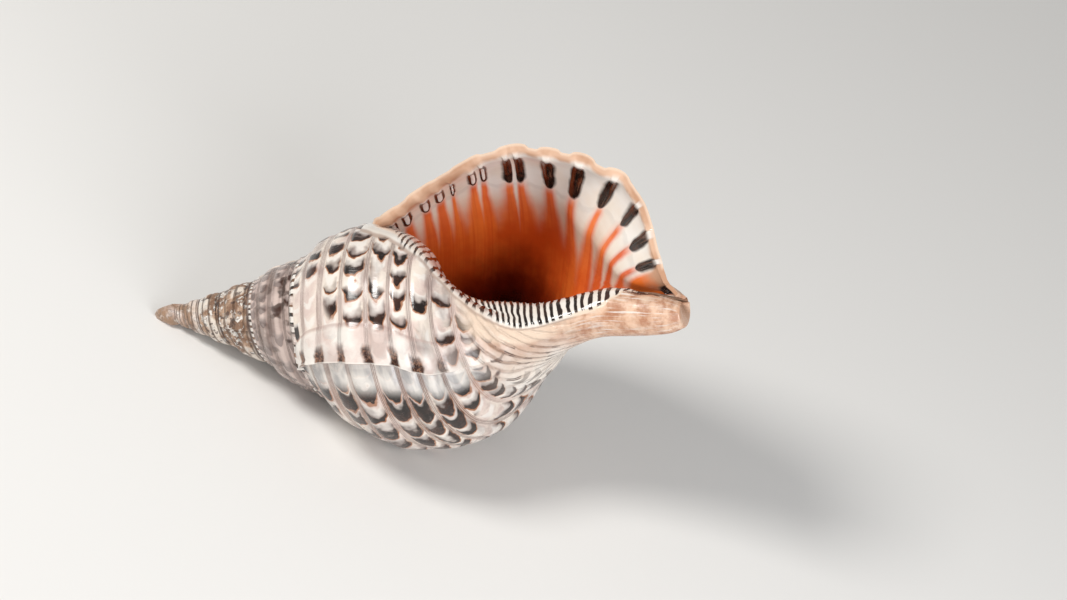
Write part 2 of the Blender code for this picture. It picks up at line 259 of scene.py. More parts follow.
# Lights: place from the middle of the view, to the right, up and back; size; tint
KEY_PLACE = (-0.75, 1.0, 0.9)
KEY_SIZE = 0.5
KEY_TINT = (1.0, 0.98, 0.95)
FILL_PLACE = (0.6, -0.4, 1.1)
FILL_SIZE = 0.9
FILL_TINT = (0.97, 0.98, 1.0)
SKY_TINT = (1.0, 1.0, 1.0, 1.0)


# ------------------------------------------------------------------ surface

def smooth(x):
    x = np.clip(x, 0.0, 1.0)
    return x * x * (3.0 - 2.0 * x)


def curve(knots, column, x):
    """Smooth curve through one column of the knots that never overshoots them."""
    table = np.array(knots)
    xs = table[:, 0]
    ys = table[:, column]
    slope = np.diff(ys) / np.diff(xs)
    both = slope[:-1] * slope[1:]
    total = np.where(both > 0.0, slope[:-1] + slope[1:], 1.0)
    tangent = np.concatenate(([slope[0]], np.where(both > 0.0, 2.0 * both / total, 0.0), [slope[-1]]))
    i = np.clip(np.searchsorted(xs, x, side="left") - 1, 0, len(xs) - 2)
    step = xs[i + 1] - xs[i]
    t = np.clip((x - xs[i]) / step, 0.0, 1.0)
    low = ys[i] * (1.0 + 2.0 * t) * (1.0 - t) ** 2
    high = ys[i + 1] * t * t * (3.0 - 2.0 * t)
    leave = tangent[i] * step * t * (1.0 - t) ** 2
    arrive = tangent[i + 1] * step * t * t * (1.0 - t)
    return low + high + leave - arrive


def callus_ahead(turn, across):
    return curve(CALLUS_SPREAD, 1, across) - (turn + 1.0)


def glaze_ahead(turn, across):
    """How far a place lies inside the glaze's margin, in turns. The glaze ends before the canal's tip."""
    narrow = 1.0 - smooth((across - CALLUS_END[0]) / CALLUS_END[1])
    return curve(CALLUS_SPREAD, 1, across) * narrow - (turn + 1.0)


def smooth_place(turn, across):
    """The surface without its relief, as an array of points."""
    size = EXPANSION ** turn
    swell = SWELL_SHARE * smooth(1.0 + turn / SWELL_TURNS)
    flare = (1.0 - SWELL_SHARE) * smooth(1.0 + turn / FLARE_TURNS)
    lead = (swell + flare) * size
    grown = (turn + np.minimum(across, 1.0) - WIDTH_GAIN_FROM) / WIDTH_GAIN_TURNS
    width = YOUNG_WIDTH + WIDTH_GAIN * smooth(grown)
    axial = curve(SECTION, AXIAL, across) * EXPANSION ** (curve(SECTION, RATE, across) * turn)
    axial = (axial + lead * curve(SECTION, LEAD_AXIAL, across)) * MM
    radius = curve(SECTION, RADIUS, across) * size * width + lead * curve(SECTION, LEAD_RADIUS, across)
    inside = smooth(callus_ahead(turn, across) / CALLUS_ROLL) * (across > 1.0)
    radius = radius + curve(SECTION, BEHIND_LIP, across) * inside * EXPANSION ** (turn + 1.0)
    radius = radius * MM
    angle = LIP_ANGLE + math.tau * turn
    bend = CANAL_BEND * smooth((axial - CANAL_BEND_FROM) / CANAL_BEND_LENGTH)
    return np.stack((axial, radius * np.cos(angle), radius * np.sin(angle) + bend), axis=-1)


def outward(turn, across):
    low = np.maximum(across - NORMAL_STEP, 0.0)
    high = np.minimum(across + NORMAL_STEP, 2.0)
    along = smooth_place(turn + NORMAL_STEP, across) - smooth_place(turn - NORMAL_STEP, across)
    over = smooth_place(turn, high) - smooth_place(turn, low)
    normal = np.cross(along, over)
    return normal / np.linalg.norm(normal, axis=-1, keepdims=True)


def rib_number(turn, across):
    """Whole on the crest of each rib. Towards the lip the ribs spread."""
    spread = smooth(1.0 + turn / SWELL_TURNS) * (turn > -1.0)
    on_body = across + (curve(RIB_AT_LIP, 1, across) - across) * spread
    return curve(RIB_PLACES, 1, on_body)


def suture_window(turn, across):
    """1 on the whorl, 0 at its sutures. The last whorl has no suture over its base."""
    below = smooth(across / SUTURE_KEEP)
    last_whorl = smooth((turn + 1.0) / SUTURE_KEEP)
    above = smooth((1.0 - across) / SUTURE_KEEP)
    return below * np.maximum(above, last_whorl)


def rib_relief(turn, across, sizes):
    number = rib_number(turn, across)
    off = np.abs(number - np.round(number))
    crest = 1.0 - smooth((off - RIB_CREST) / RIB_SIDE)
    crown = 1.0 - RIB_CROWN * (off / RIB_CREST) ** 2
    fade = 1.0 - smooth((across - RIB_FADE_FROM) / RIB_FADE)
    gain = 1.0 + sizes.lip_scallop * smooth(1.0 + turn / FLARE_TURNS) * smooth(across - SCALLOP_FROM)
    grown = EXPANSION ** (turn + np.minimum(across, 1.0) - 1.0)
    return sizes.rib_height * grown * crest * crown * fade * gain * suture_window(turn, across)


def cord_relief(turn, across, sizes):
    """The beaded cord just below the suture."""
    off = (across - CORD_PLACE) / CORD_WIDTH
    ridge = 1.0 - smooth(np.abs(off))
    bead = BEAD_MEAN + BEAD_SWING * np.cos(math.tau * BEADS * turn)
    return sizes.cord_height * EXPANSION ** turn * ridge * bead


def varix_swell(turn, across):
    """0 away from the varices, rising to 1 at each one's edge."""
    late = curve(VARIX_WINDS, 1, across)
    swell = np.zeros(np.broadcast(turn, across).shape)
    for i, place in enumerate(VARIX_TURNS):
        before = place - turn + (late if i == 0 else 0.0)
        share = np.clip(before / VARIX_RISE, 0.0, 1.0)
        edge = VARIX_EDGE_HEIGHT * (1.0 - smooth(share / VARIX_EDGE))
        rise = ((1.0 - VARIX_EDGE_HEIGHT) * (1.0 - share ** 3) + edge) * (before >= 0.0)
        drop = smooth(1.0 + before / VARIX_DROP) * (before < 0.0)
        swell = np.maximum(swell, rise + drop)
    return swell


def past_last_varix(turn, across):
    return turn - VARIX_TURNS[0] - curve(VARIX_WINDS, 1, across)


def follow_varix(turn, across):
    """The same rows of a grid, bent to run along the last varix's line."""
    full, none = VARIX_FOLLOW
    near = 1.0 - smooth((np.abs(turn - VARIX_TURNS[0]) - full) / (none - full))
    return turn + curve(VARIX_WINDS, 1, across) * near * smooth(across / VARIX_FOLLOW_ACROSS)


def varix_relief(turn, across, sizes):
    fade = 1.0 - smooth((across - VARIX_FADE_FROM) / VARIX_FADE)
    height = sizes.varix_height * EXPANSION ** turn
    return height * varix_swell(turn, across) * fade * suture_window(turn, across)


def glaze_line(across):
    return curve(GLAZE_LINES, 1, across)


def callus_relief(turn, across, sizes, folded=1.0):
    """The inner lip's glaze, with folds across it further along, at a share of their height."""
    ahead = glaze_ahead(turn, across)
    edge = smooth(ahead / CALLUS_EDGE)
    line = glaze_line(across)
    fold = 0.5 - 0.5 * np.cos(math.tau * line)
    folds = sizes.fold_height * fold * smooth((line - RIDGES_FROM) / RIDGES_OVER) * edge * folded
    ridge = smooth(1.0 - np.abs(ahead) / CALLUS_RIDGE) * smooth((across - CALLUS_RIDGE_FROM) / CALLUS_START)
    tooth = RIDGE_MEAN + RIDGE_SWING * np.cos(math.tau * line)
    toothed = sizes.margin_height * ridge * tooth * (turn > -1.0)
    laid = CALLUS_HEIGHT * edge + folds * edge + toothed
    return laid * smooth((across - 1.0) / CALLUS_START) * (across > 1.0)


def outer_place(turn, across, sizes):
    callus = callus_relief(turn, across, sizes)
    bare = 1.0 - np.minimum(callus / CALLUS_HEIGHT, 1.0)
    grown = smooth((turn + WHORLS) / WORN_TURNS)
    relief = rib_relief(turn, across, sizes) * bare + cord_relief(turn, across, sizes)
    relief = (relief + varix_relief(turn, across, sizes)) * grown + callus
    return smooth_place(turn, across) + outward(turn, across) * relief[..., None]


def hollow_across(depth, across):
    corner = CORNER_OUTER * smooth(depth / CORNER_TURNS)
    outer = corner + (1.0 - corner) * across
    deep = smooth((depth - HOLLOW_LEAVE) / HOLLOW_LEAVE_TURNS)
    end = 2.0 + (HOLLOW_END_ACROSS - 2.0) * deep
    inner = 1.0 + (across - 1.0) * (end - 1.0)
    return np.where(across <= 1.0, outer, inner)


def tooth_number(across):
    knots = [TOOTH_ENDS[0]]
    for i, (middle, half) in enumerate(TEETH):
        knots += [(middle - half, i - TOOTH_HALF), (middle + half, i + TOOTH_HALF)]
    knots.append(TOOTH_ENDS[1])
    table = np.array(knots)
    return np.interp(across, table[:, 0], table[:, 1])


def tooth_relief(across, inward, sizes):
    """Teeth inside the lip and the flutes behind them. inward is the way in from the edge, in metres."""
    number = tooth_number(across)
    off = np.abs(number - np.round(number))
    ridge = 1.0 - smooth(off / (TOOTH_HALF * TOOTH_FOOT))
    starts = smooth((inward - TOOTH_FROM) / TOOTH_END)
    ends = 1.0 - smooth((inward - TOOTH_TO) / TOOTH_END)
    flute = FLUTE_SHARE * (1.0 - smooth((inward - TOOTH_TO) / FLUTE_LENGTH))
    return sizes.tooth_height * ridge * starts * (ends + (1.0 - ends) * flute)


def hollow_outer(depths, across, sizes):
    """Inner side of the whorl's outer wall, and the way in from the lip to each point."""
    round_edge = np.sqrt(np.clip(1.0 - (1.0 - np.clip(depths / LIP_ROUND, 0.0, 1.0)) ** 2, 0.0, 1.0))
    wall = WALL + (LIP_WALL - WALL) * smooth(1.0 - depths / LIP_WALL_TURNS)
    wall = wall * round_edge
    wall = wall * (1.0 - (1.0 - CANAL_WALL) * smooth((across - CANAL_WALL_FROM) / CANAL_WALL_ACROSS))
    place = hollow_across(depths, across)
    normal = outward(-depths, place)
    under = smooth_place(-depths, place)
    edge = rib_relief(-depths, place, sizes) * (1.0 - round_edge)
    edge = edge + cord_relief(-depths, place, sizes) * (1.0 - round_edge)
    bare = under - normal * (wall - edge)[..., None]
    steps = np.linalg.norm(np.diff(bare, axis=0), axis=-1)
    inward = np.concatenate((np.zeros((1, steps.shape[1])), np.cumsum(steps, axis=0)))
    shaped = bare - normal * tooth_relief(place, inward, sizes)[..., None]
    shaped[0] = outer_place(np.array([[0.0]]), across, sizes)[0]
    return shaped, place, inward


def hollow_inner(depths, across, outer_edge, sizes):
    """The whorl before, seen from inside the aperture."""
    corner = CORNER_INNER * smooth(depths / CORNER_TURNS) * (2.0 - across)
    end = smooth((depths - HOLLOW_LEAVE) / HOLLOW_LEAVE_TURNS)
    place = 1.0 + (across - 1.0) * (1.0 + (HOLLOW_END_ACROSS - 2.0) * end) + corner
    turn = -1.0 - depths
    folded = 1.0 - smooth((depths - RIDGES_KEEP) / RIDGES_FADE)
    relief = callus_relief(np.full_like(place, -1.0), place, sizes, folded)
    points = smooth_place(turn, place) + outward(turn, place) * relief[..., None]
    points[:, 0] = outer_edge
    return points, turn, place


# ------------------------------------------------------------------ grids

def turn_stations():
    """Growth stations of one turn, the same in each so that the whorls meet point to point."""
    fixed = list(LIP_STATIONS)
    for place in VARIX_TURNS:
        fixed += [(step - place) % 1.0 for step in VARIX_STATIONS]
    even = [i / EVEN_STEPS for i in range(1, EVEN_STEPS)]
    clear = [value for value in even if all(abs(value - other) > STATION_GAP for other in fixed)]
    return np.array(sorted([0.0, 1.0] + fixed + clear))


def across_stations():
    """Columns at even lengths along the section at the lip."""
    fine = np.linspace(0.0, 2.0, FINE_COLUMNS)
    points = smooth_place(np.zeros_like(fine), fine)
    way = np.concatenate(([0.0], np.cumsum(np.linalg.norm(np.diff(points, axis=0), axis=-1))))
    middle = np.searchsorted(fine, 1.0)
    exposed = np.interp(np.linspace(0.0, way[middle], SUTURE_COLUMNS), way, fine)
    base = np.interp(np.linspace(way[middle], way[-1], BASE_COLUMNS), way, fine)
    exposed[-1] = 1.0
    base[0] = 1.0
    return np.concatenate((exposed, base[1:]))


def marks_for(turn, across, tooth=None, inward=None):
    """UV values of every point of a grid, in the order of the maps."""
    turn = turn + 0.0 * across
    across = across + 0.0 * turn
    ahead = np.clip(glaze_ahead(turn, across), -1.0, 1.0)
    ahead = np.where(across > 1.0, ahead, -1.0)
    if tooth is None:
        lip = np.stack((past_last_varix(turn, across), 0.0 * across), axis=-1)
    else:
        lip = np.stack((tooth, inward * CENTIMETRES), axis=-1)
    return (
        np.stack((turn, across), axis=-1),
        np.stack((rib_number(turn, across), varix_swell(turn, across)), axis=-1),
        np.stack((glaze_line(across), ahead), axis=-1),
        lip,
    )


def sheet(mesh, places, marks, material):
    """A grid laid on an array of points, with its marks in the UV maps."""
    last_row = places.shape[0] - 1
    last_column = places.shape[1] - 1
    layers = [mesh.loops.layers.uv[name] for name in MAPS]
    points = places.tolist()
    values = [mark.tolist() for mark in marks]
    made = bmesh.ops.create_grid(mesh, x_segments=last_row, y_segments=last_column, size=GRID_HALF)
    for vert in made["verts"]:
        row = round((vert.co.x + GRID_HALF) * last_row)
        column = round((vert.co.y + GRID_HALF) * last_column)
        vert.co = points[row][column]
        for loop in vert.link_loops:
            for layer, value in zip(layers, values):
                loop[layer].uv = value[row][column]
            loop.face.material_index = material


def weld(mesh):
    bmesh.ops.remove_doubles(mesh, verts=mesh.verts, dist=WELD)


def rim(mesh, low, high):
    return [edge for edge in mesh.edges if edge.is_boundary and low <= edge.verts[0].co.x < high]


def mark_face(mesh, face, values, material):
    face.material_index = material
    for loop in face.loops:
        for name, value in zip(MAPS, values):
            loop[mesh.loops.layers.uv[name]].uv = value


def close_with_face(mesh, edges, values, material):
    cap = bmesh.ops.contextual_create(mesh, geom=edges)["faces"]
    made = bmesh.ops.triangulate(mesh, faces=cap)["faces"]
    for face in made:
        mark_face(mesh, face, values, material)


def round_canal(mesh):
    """The canal's tip, closed and rounded."""
    cap = bmesh.ops.contextual_create(mesh, geom=rim(mesh, CANAL_END, FAR))["faces"]
    cap[0].normal_update()
    if cap[0].normal.x < 0.0:
        bmesh.ops.reverse_faces(mesh, faces=cap)
    made = []
    for inset, bulge in CANAL_ROUND:
        ring = bmesh.ops.inset_region(mesh, faces=cap, thickness=inset, depth=bulge, use_even_offset=False)
        made += ring["faces"]
    made += bmesh.ops.triangulate(mesh, faces=cap)["faces"]
    for face in made:
        mark_face(mesh, face, CANAL_TIP_MARKS, OUTSIDE)


def round_apex(mesh):
    for axial, radius in APEX_RINGS:
        made = bmesh.ops.extrude_edge_only(mesh, edges=rim(mesh, 0.0, APEX_END))["geom"]
        for vert in [item for item in made if isinstance(item, bmesh.types.BMVert)]:
            angle = math.atan2(vert.co.z, vert.co.y)
            vert.co = Vector((axial, radius * math.cos(angle), radius * math.sin(angle)))
        for face in [item for item in made if isinstance(item, bmesh.types.BMFace)]:
            mark_face(mesh, face, APEX_MARKS, OUTSIDE)
        weld(mesh)
    cap = bmesh.ops.contextual_create(mesh, geom=rim(mesh, 0.0, APEX_END))["faces"]
    poked = bmesh.ops.poke(mesh, faces=cap)
    poked["verts"][0].co = Vector((APEX_TIP, 0.0, 0.0))
    for face in poked["faces"]:
        mark_face(mesh, face, APEX_MARKS, OUTSIDE)


def rest(mesh):
    """Turn the shell to its resting place and flatten the spots that touch the floor."""
    bmesh.ops.rotate(mesh, verts=mesh.verts, matrix=REST_TURN.to_matrix())
    bmesh.ops.bisect_plane(
        mesh,
        geom=mesh.verts[:] + mesh.edges[:] + mesh.faces[:],
        dist=WELD,
        plane_co=(0.0, 0.0, REST_MIDDLE.z),
        plane_no=(0.0, 0.0, 1.0),
        clear_inner=True,
    )
    edges = [edge for edge in mesh.edges if edge.is_boundary]
    flats = bmesh.ops.holes_fill(mesh, edges=edges, sides=0)["faces"]
    flats = bmesh.ops.triangulate(mesh, faces=flats)["faces"]
    fresh = set(flats)
    for face in flats:
        face.material_index = OUTSIDE
        for loop in face.loops:
            beside = [other for other in loop.vert.link_loops if other.face not in fresh]
            for name in MAPS:
                layer = mesh.loops.layers.uv[name]
                if beside:
                    loop[layer].uv = beside[0][layer].uv
    bmesh.ops.translate(mesh, verts=mesh.verts, vec=-REST_MIDDLE)


def shell_mesh(sizes):
    mesh = bmesh.new()
    for name in MAPS:
        mesh.loops.layers.uv.new(name)
    across = across_stations()[None, :]
    exposed = across[:, :SUTURE_COLUMNS]
    base = across[:, SUTURE_COLUMNS - 1:]
    stations = turn_stations()
    for whorl in range(1, WHORLS):
        turn = (-whorl - stations)[:, None]
        sheet(mesh, outer_place(turn, exposed, sizes), marks_for(turn, exposed), OUTSIDE)
    turn = follow_varix(-stations[:, None], across)
    outer = outer_place(turn, across, sizes)
    sheet(mesh, outer, marks_for(turn, across), OUTSIDE)

    near = stations[stations <= CANAL_SLOT_TURNS]
    far = stations[(stations > CANAL_SLOT_TURNS) & (stations <= HOLLOW_TURNS)][::DEEP_SHARE]
    depths = np.concatenate((near, far))[:, None]
    hollow, place, inward = hollow_outer(depths, across, sizes)
    marks = marks_for(-depths, place, tooth_number(place), inward)
    sheet(mesh, hollow, marks, INSIDE)
    inner, inner_turn, inner_place = hollow_inner(depths, base, hollow[:, 0], sizes)
    inner[0] = outer[-1][SUTURE_COLUMNS - 1:]
    sheet(mesh, inner, marks_for(inner_turn, inner_place), INNER_WALL)

    slot = len(near)
    floor = np.stack((hollow[slot - 1:, -1], inner[slot - 1:, -1]), axis=1)
    end = np.full((floor.shape[0], 2), 2.0)
    in_from_edge = np.full_like(end, CANAL_FLOOR_INWARD)
    floor_marks = marks_for(-depths[slot - 1:], end, np.zeros_like(end), in_from_edge)
    sheet(mesh, floor, floor_marks, INSIDE)
    tip = np.stack((hollow[:slot, -1], outer[:slot, -1]), axis=1)
    end = np.full((slot, 2), 2.0)
    sheet(mesh, tip, marks_for(-depths[:slot], end), OUTSIDE)
    weld(mesh)

    round_apex(mesh)
    close_with_face(mesh, rim(mesh, HOLLOW_END, CANAL_END), HOLLOW_END_MARKS, INSIDE)
    round_canal(mesh)
    bmesh.ops.recalc_face_normals(mesh, faces=mesh.faces)
    if mesh.calc_volume(signed=True) < 0.0:
        bmesh.ops.reverse_faces(mesh, faces=mesh.faces)
    rest(mesh)
    return mesh


# ------------------------------------------------------------------ finishes
#
# Below, noise is given its number of changes in a metre. Other numbers are places in the maps, where a mask
# starts and ends, or shares from 0 to 1.

class Net:
    """Short calls that place and join the nodes of one tree."""

    def __init__(self, tree):
        self.tree = tree

    def node(self, kind, **settings):
        made = self.tree.nodes.new(kind)
        row, column = divmod(len(self.tree.nodes), NODES_IN_ROW)
        made.location = (column * NODE_WIDTH, -row * NODE_HEIGHT)
        for name, value in settings.items():
            setattr(made, name, value)
        return made

    def put(self, socket, value):
        if isinstance(value, bpy.types.NodeSocket):
            self.tree.links.new(value, socket)
        else:
            socket.default_value = value

    def math(self, operation, *values):
        made = self.node("ShaderNodeMath", operation=operation)
        for socket, value in zip(made.inputs, values):
            self.put(socket, value)
        return made.outputs[0]

    def add(self, a, b):
        return self.math("ADD", a, b)

    def less(self, a, b):
        """a less b."""
        return self.math("SUBTRACT", a, b)

    def times(self, a, b):
        return self.math("MULTIPLY", a, b)

    def step(self, x, low, high, start=0.0, end=1.0):
        """Smooth change from start to end as x goes from low to high."""
        made = self.node("ShaderNodeMapRange", interpolation_type="SMOOTHSTEP")
        names = ("Value", "From Min", "From Max", "To Min", "To Max")
        for name, value in zip(names, (x, low, high, start, end)):
            self.put(made.inputs[name], value)
        return made.outputs["Result"]

    def fall(self, x, low, high):
        """1 up to low, 0 past high."""
        return self.step(x, low, high, 1.0, 0.0)

    def band(self, x, low, full, leave, end):
        """0 before low, 1 between full and leave, 0 past end."""
        return self.both(self.step(x, low, full), self.fall(x, leave, end))

    def both(self, *masks):
        """Where all of the masks are, each of them a mask or a share."""
        result = masks[0]
        for mask in masks[1:]:
            result = self.times(result, mask)
        return result

    def mix(self, share, one, other):
        made = self.node("ShaderNodeMix", data_type="RGBA")
        self.put(made.inputs[0], share)
        self.put(made.inputs[6], one)
        self.put(made.inputs[7], other)
        return made.outputs[2]

    def mix_values(self, share, one, other):
        made = self.node("ShaderNodeMix", data_type="FLOAT")
        self.put(made.inputs[0], share)
        self.put(made.inputs[2], one)
        self.put(made.inputs[3], other)
        return made.outputs[0]

    def uv(self, name):
        made = self.node("ShaderNodeUVMap", uv_map=name)
        parts = self.node("ShaderNodeSeparateXYZ")
        self.put(parts.inputs[0], made.outputs[0])
        return parts.outputs[0], parts.outputs[1]

    def place(self):
        return self.node("ShaderNodeTexCoord").outputs["Object"]

    def vector(self, x, y, z=0.0):
        made = self.node("ShaderNodeCombineXYZ")
        for socket, value in zip(made.inputs, (x, y, z)):
            self.put(socket, value)
        return made.outputs[0]

    def noise(self, where, scale, detail=2.0, roughness=0.5):
        made = self.node("ShaderNodeTexNoise")
        self.put(made.inputs["Vector"], where)
        self.put(made.inputs["Scale"], scale)
        self.put(made.inputs["Detail"], detail)
        self.put(made.inputs["Roughness"], roughness)
        return made.outputs[0]

    def drift(self, where, scale, detail):
        """Noise that swings evenly to both sides of 0."""
        return self.less(self.noise(where, scale, detail), 0.5)

    def patches(self, where, scale, detail, low, high, start=0.0, end=1.0):
        """Noise turned into patches with soft edges."""
        return self.step(self.noise(where, scale, detail), low, high, start, end)

    def streaks(self, x, across_x, y, across_y, detail, roughness=0.5):
        """Noise over two values, each with its own number of changes in a unit."""
        where = self.vector(self.times(x, across_x), self.times(y, across_y))
        return self.noise(where, 1.0, detail, roughness)

    def chance(self, where):
        """Random numbers that change only from cell to cell."""
        made = self.node("ShaderNodeTexWhiteNoise", noise_dimensions="3D")
        self.put(made.inputs["Vector"], where)
        parts = self.node("ShaderNodeSeparateColor")
        self.put(parts.inputs[0], made.outputs["Color"])
        return parts.outputs[0], parts.outputs[1], parts.outputs[2]

    def away(self, x):
        """Distance from the nearest whole number."""
        return self.math("ABSOLUTE", self.less(x, self.math("ROUND", x)))


class Paint:
    """A colour that takes one coat after another."""

    def __init__(self, net, ground):
        self.net = net
        self.colour = ground

    def over(self, coat, *masks):
        """Lay a coat where all of the masks are."""
        self.colour = self.net.mix(self.net.both(*masks), self.colour, coat)


def new_group(name, inputs, outputs):
    group = bpy.data.node_groups.new(name, "ShaderNodeTree")
    for label, kind in inputs:
        group.interface.new_socket(label, in_out="INPUT", socket_type=kind)
    for label, kind in outputs:
        group.interface.new_socket(label, in_out="OUTPUT", socket_type=kind)
    net = Net(group)
    return group, net, net.node("NodeGroupInput"), net.node("NodeGroupOutput")


def use_group(net, group, **values):
    made = net.node("ShaderNodeGroup")
    made.node_tree = group
    for name, value in values.items():
        net.put(made.inputs[name], value)
    return made.outputs


def new_material(name):
    made = bpy.data.materials.new(name)
    made.use_nodes = True
    return made, Net(made.node_tree), made.node_tree.nodes["Principled BSDF"]


def gloss(finish, weight, roughness):
    finish.inputs["Coat Weight"].default_value = weight
    finish.inputs["Coat Roughness"].default_value = roughness


def bump(net, finish, height, depth):
    made = net.node("ShaderNodeBump")
    made.inputs["Distance"].default_value = depth
    net.put(made.inputs["Height"], height)
    net.put(finish.inputs["Normal"], made.outputs[0])


def glaze_group(looks):
    """Dark lines on the white glaze of the inner lip. Turned inwards it reddens and then goes nearly black:
    partly the shell's deeper colour, mostly painted shade deep in the aperture.
    """
    group, net, take, give = new_group(
        "inner lip glaze",
        (("Line", "NodeSocketFloat"), ("Ahead", "NodeSocketFloat"), ("Depth", "NodeSocketFloat"),
         ("Place", "NodeSocketVector")),
        (("Color", "NodeSocketColor"), ("Height", "NodeSocketFloat"), ("Roughness", "NodeSocketFloat"),
         ("Cover", "NodeSocketFloat")),
    )
    line = take.outputs["Line"]
    ahead = take.outputs["Ahead"]
    depth = take.outputs["Depth"]
    place = take.outputs["Place"]

    # a dark line half way between one line number and the next, from a little inside the margin
    number = net.add(net.add(line, 0.5), net.times(net.drift(place, 150.0, 1.0), 0.55))
    half = net.step(line, 4.0, 13.0, 0.18, 0.235)
    dark = net.fall(net.away(number), net.less(half, 0.045), net.add(half, 0.045))
    luck = net.chance(net.vector(net.math("ROUND", number), 3.0))[0]
    reach = net.add(net.step(line, 5.0, 14.0, 0.004, 0.014), net.times(luck, 0.012))
    reach = net.add(reach, net.step(line, -4.5, 0.5, 0.05, 0.0))
    starts = net.step(ahead, reach, net.add(reach, net.step(line, 5.0, 14.0, 0.018, 0.012)))
    begins = net.step(net.add(line, net.times(luck, 1.5)), -4.6, -3.6)
    dark = net.both(dark, starts, begins)

    cloud = net.noise(place, 60.0, 3.0)
    glaze = Paint(net, looks.glaze_white)
    glaze.over(looks.cream, net.step(cloud, 0.35, 0.75))
    glaze.over(looks.peach_pale, net.fall(ahead, 0.0, 0.035), net.step(line, 5.0, 12.0, 0.0, 0.8))
    glaze.over(looks.rust_soft, net.band(ahead, 0.004, 0.010, 0.014, 0.022), 0.6)
    glaze.over(looks.peach_pale, net.step(line, 25.0, 27.0), net.fall(ahead, 0.015, 0.045))
    # painted shade: red-brown, then nearly black, deeper into the aperture, partly the shell's own deeper
    # colour
    glaze.over(looks.throat, net.step(depth, 0.02, 0.16))
    ink = net.mix(net.step(cloud, 0.4, 0.7), looks.ink, looks.umber)
    glaze.over(ink, dark, net.fall(depth, 0.08, 0.2))
    glaze.over(looks.deep_throat_shade, net.step(depth, 0.12, 0.40))
    net.put(give.inputs["Color"], glaze.colour)
    net.put(give.inputs["Height"], net.times(dark, -0.35))
    net.put(give.inputs["Roughness"], net.step(dark, 0.0, 1.0, 0.16, 0.12))
    ragged = net.times(net.drift(place, 95.0, 3.0), net.step(line, 0.0, 7.0, 0.05, 0.012))
    net.put(give.inputs["Cover"], net.step(net.add(ahead, ragged), 0.006, 0.016))
    return group


# ------------------------------------------------------------------ outside

class OutsidePlaces:
    """Places on the outside. The functions below add the masks that later ones share."""

    def __init__(self, net):
        self.turn, self.across = net.uv("growth")
        self.rib, self.swell = net.uv("ribs")
        self.line, self.ahead = net.uv("glaze")
        self.past = net.uv("lip")[0]
        self.place = net.place()
        self.rib_index = net.math("ROUND", self.rib)
        self.off = net.away(self.rib)
        self.density = net.drift(self.place, 20.0, 1.0)
        self.wander = net.drift(self.place, 110.0, 2.0)
        self.cloud = net.noise(self.place, 45.0, 4.0, 0.55)
        self.patch = net.noise(self.place, 60.0, 3.0)
        self.smudge = net.step(net.noise(self.place, 85.0, 4.0, 0.6), 0.50, 0.72)
        self.speckle = net.noise(self.place, 420.0, 3.0, 0.7)


def find_bold_places(net, at):
    """Where the markings are bold, just past a varix or the lip, and where they are sparse."""
    at.past_varix = net.band(at.past, 0.0, 0.013, 0.09, 0.17)
    past_lip = net.band(at.turn, -1.02, -1.0, -0.93, -0.86)
    at.bold = net.math("MAXIMUM", at.past_varix, past_lip)
    beside_suture = net.band(at.across, 0.10, 0.20, 0.46, 0.60)
    at.sparse = net.both(beside_suture, net.step(at.past, -0.18, -0.12), net.fall(at.past, -0.02, 0.01))


def find_crescents(net, at):
    """Crescents on the ribs, each in a cell of its own, smoky before it and rusty round it."""
    rib_luck = net.chance(net.vector(at.rib_index, 7.0))[0]
    hang = net.times(net.times(at.off, at.off), 3.0)
    along = net.add(net.times(at.turn, 27.0), net.times(rib_luck, 9.0))
    along = net.add(along, net.add(hang, net.times(at.wander, 1.1)))
    cell = net.math("FLOOR", along)
    at.within = net.math("FRACT", along)
    luck, at.size, at.shade = net.chance(net.vector(cell, at.rib_index, 1.0))
    chosen = net.add(net.add(luck, net.times(at.density, 1.3)), net.times(at.bold, 0.25))
    present = net.step(net.less(chosen, net.times(at.sparse, 0.42)), 0.23, 0.31)
    start = net.less(net.add(0.12, net.times(at.size, 0.46)), net.times(at.bold, 0.14))
    start = net.add(start, net.times(net.less(at.shade, 0.35), net.times(at.off, 1.5)))
    rough_edge = net.times(net.drift(at.place, 230.0, 2.0), 0.14)
    half = net.add(net.step(at.rib_index, 1.5, 4.0, 0.20, 0.33), net.times(luck, 0.07))
    half = net.less(half, net.times(at.sparse, 0.08))
    beyond = net.less(net.add(at.off, rough_edge), half)
    at.on_rib = net.fall(beyond, -0.03, 0.05)
    ends = net.fall(at.within, 0.84, 0.89)
    at.dark = net.both(net.step(at.within, start, net.add(start, 0.20)), ends, at.on_rib, present)
    smoke = net.step(at.within, net.less(start, 0.32), net.add(start, 0.08))
    at.smoke = net.both(smoke, ends, at.on_rib, present)
    below = net.both(net.band(at.within, 0.74, 0.85, 0.93, 0.98), net.fall(beyond, 0.02, 0.09), present)
    beside = net.band(beyond, -0.05, 0.0, 0.03, 0.09)
    beside = net.both(beside, net.step(at.within, start, 0.9), present, ends)
    at.rust = net.math("MAXIMUM", below, beside)


def rib_ground(net, at, looks):
    """Cream, clouded with pink and ash, with a white lobe at the start of each cell."""
    skin = Paint(net, looks.cream)
    skin.over(looks.blush_pale, net.step(at.cloud, 0.40, 0.62))
    skin.over(looks.old_blush, at.smudge, net.step(at.sparse, 0.0, 1.0, 0.75, 0.25))
    lobe = net.band(at.within, 0.0, 0.12, 0.30, 0.52)
    skin.over(looks.glaze_white, lobe, net.fall(at.off, 0.24, 0.36), 0.75)
    at.ash = net.streaks(at.turn, 8.0, at.rib, 0.9, 4.0)
    ash_from = net.less(0.54, net.times(at.bold, 0.06))
    skin.over(looks.ash, net.step(at.ash, ash_from, net.add(ash_from, 0.16)), 0.55)
    return skin


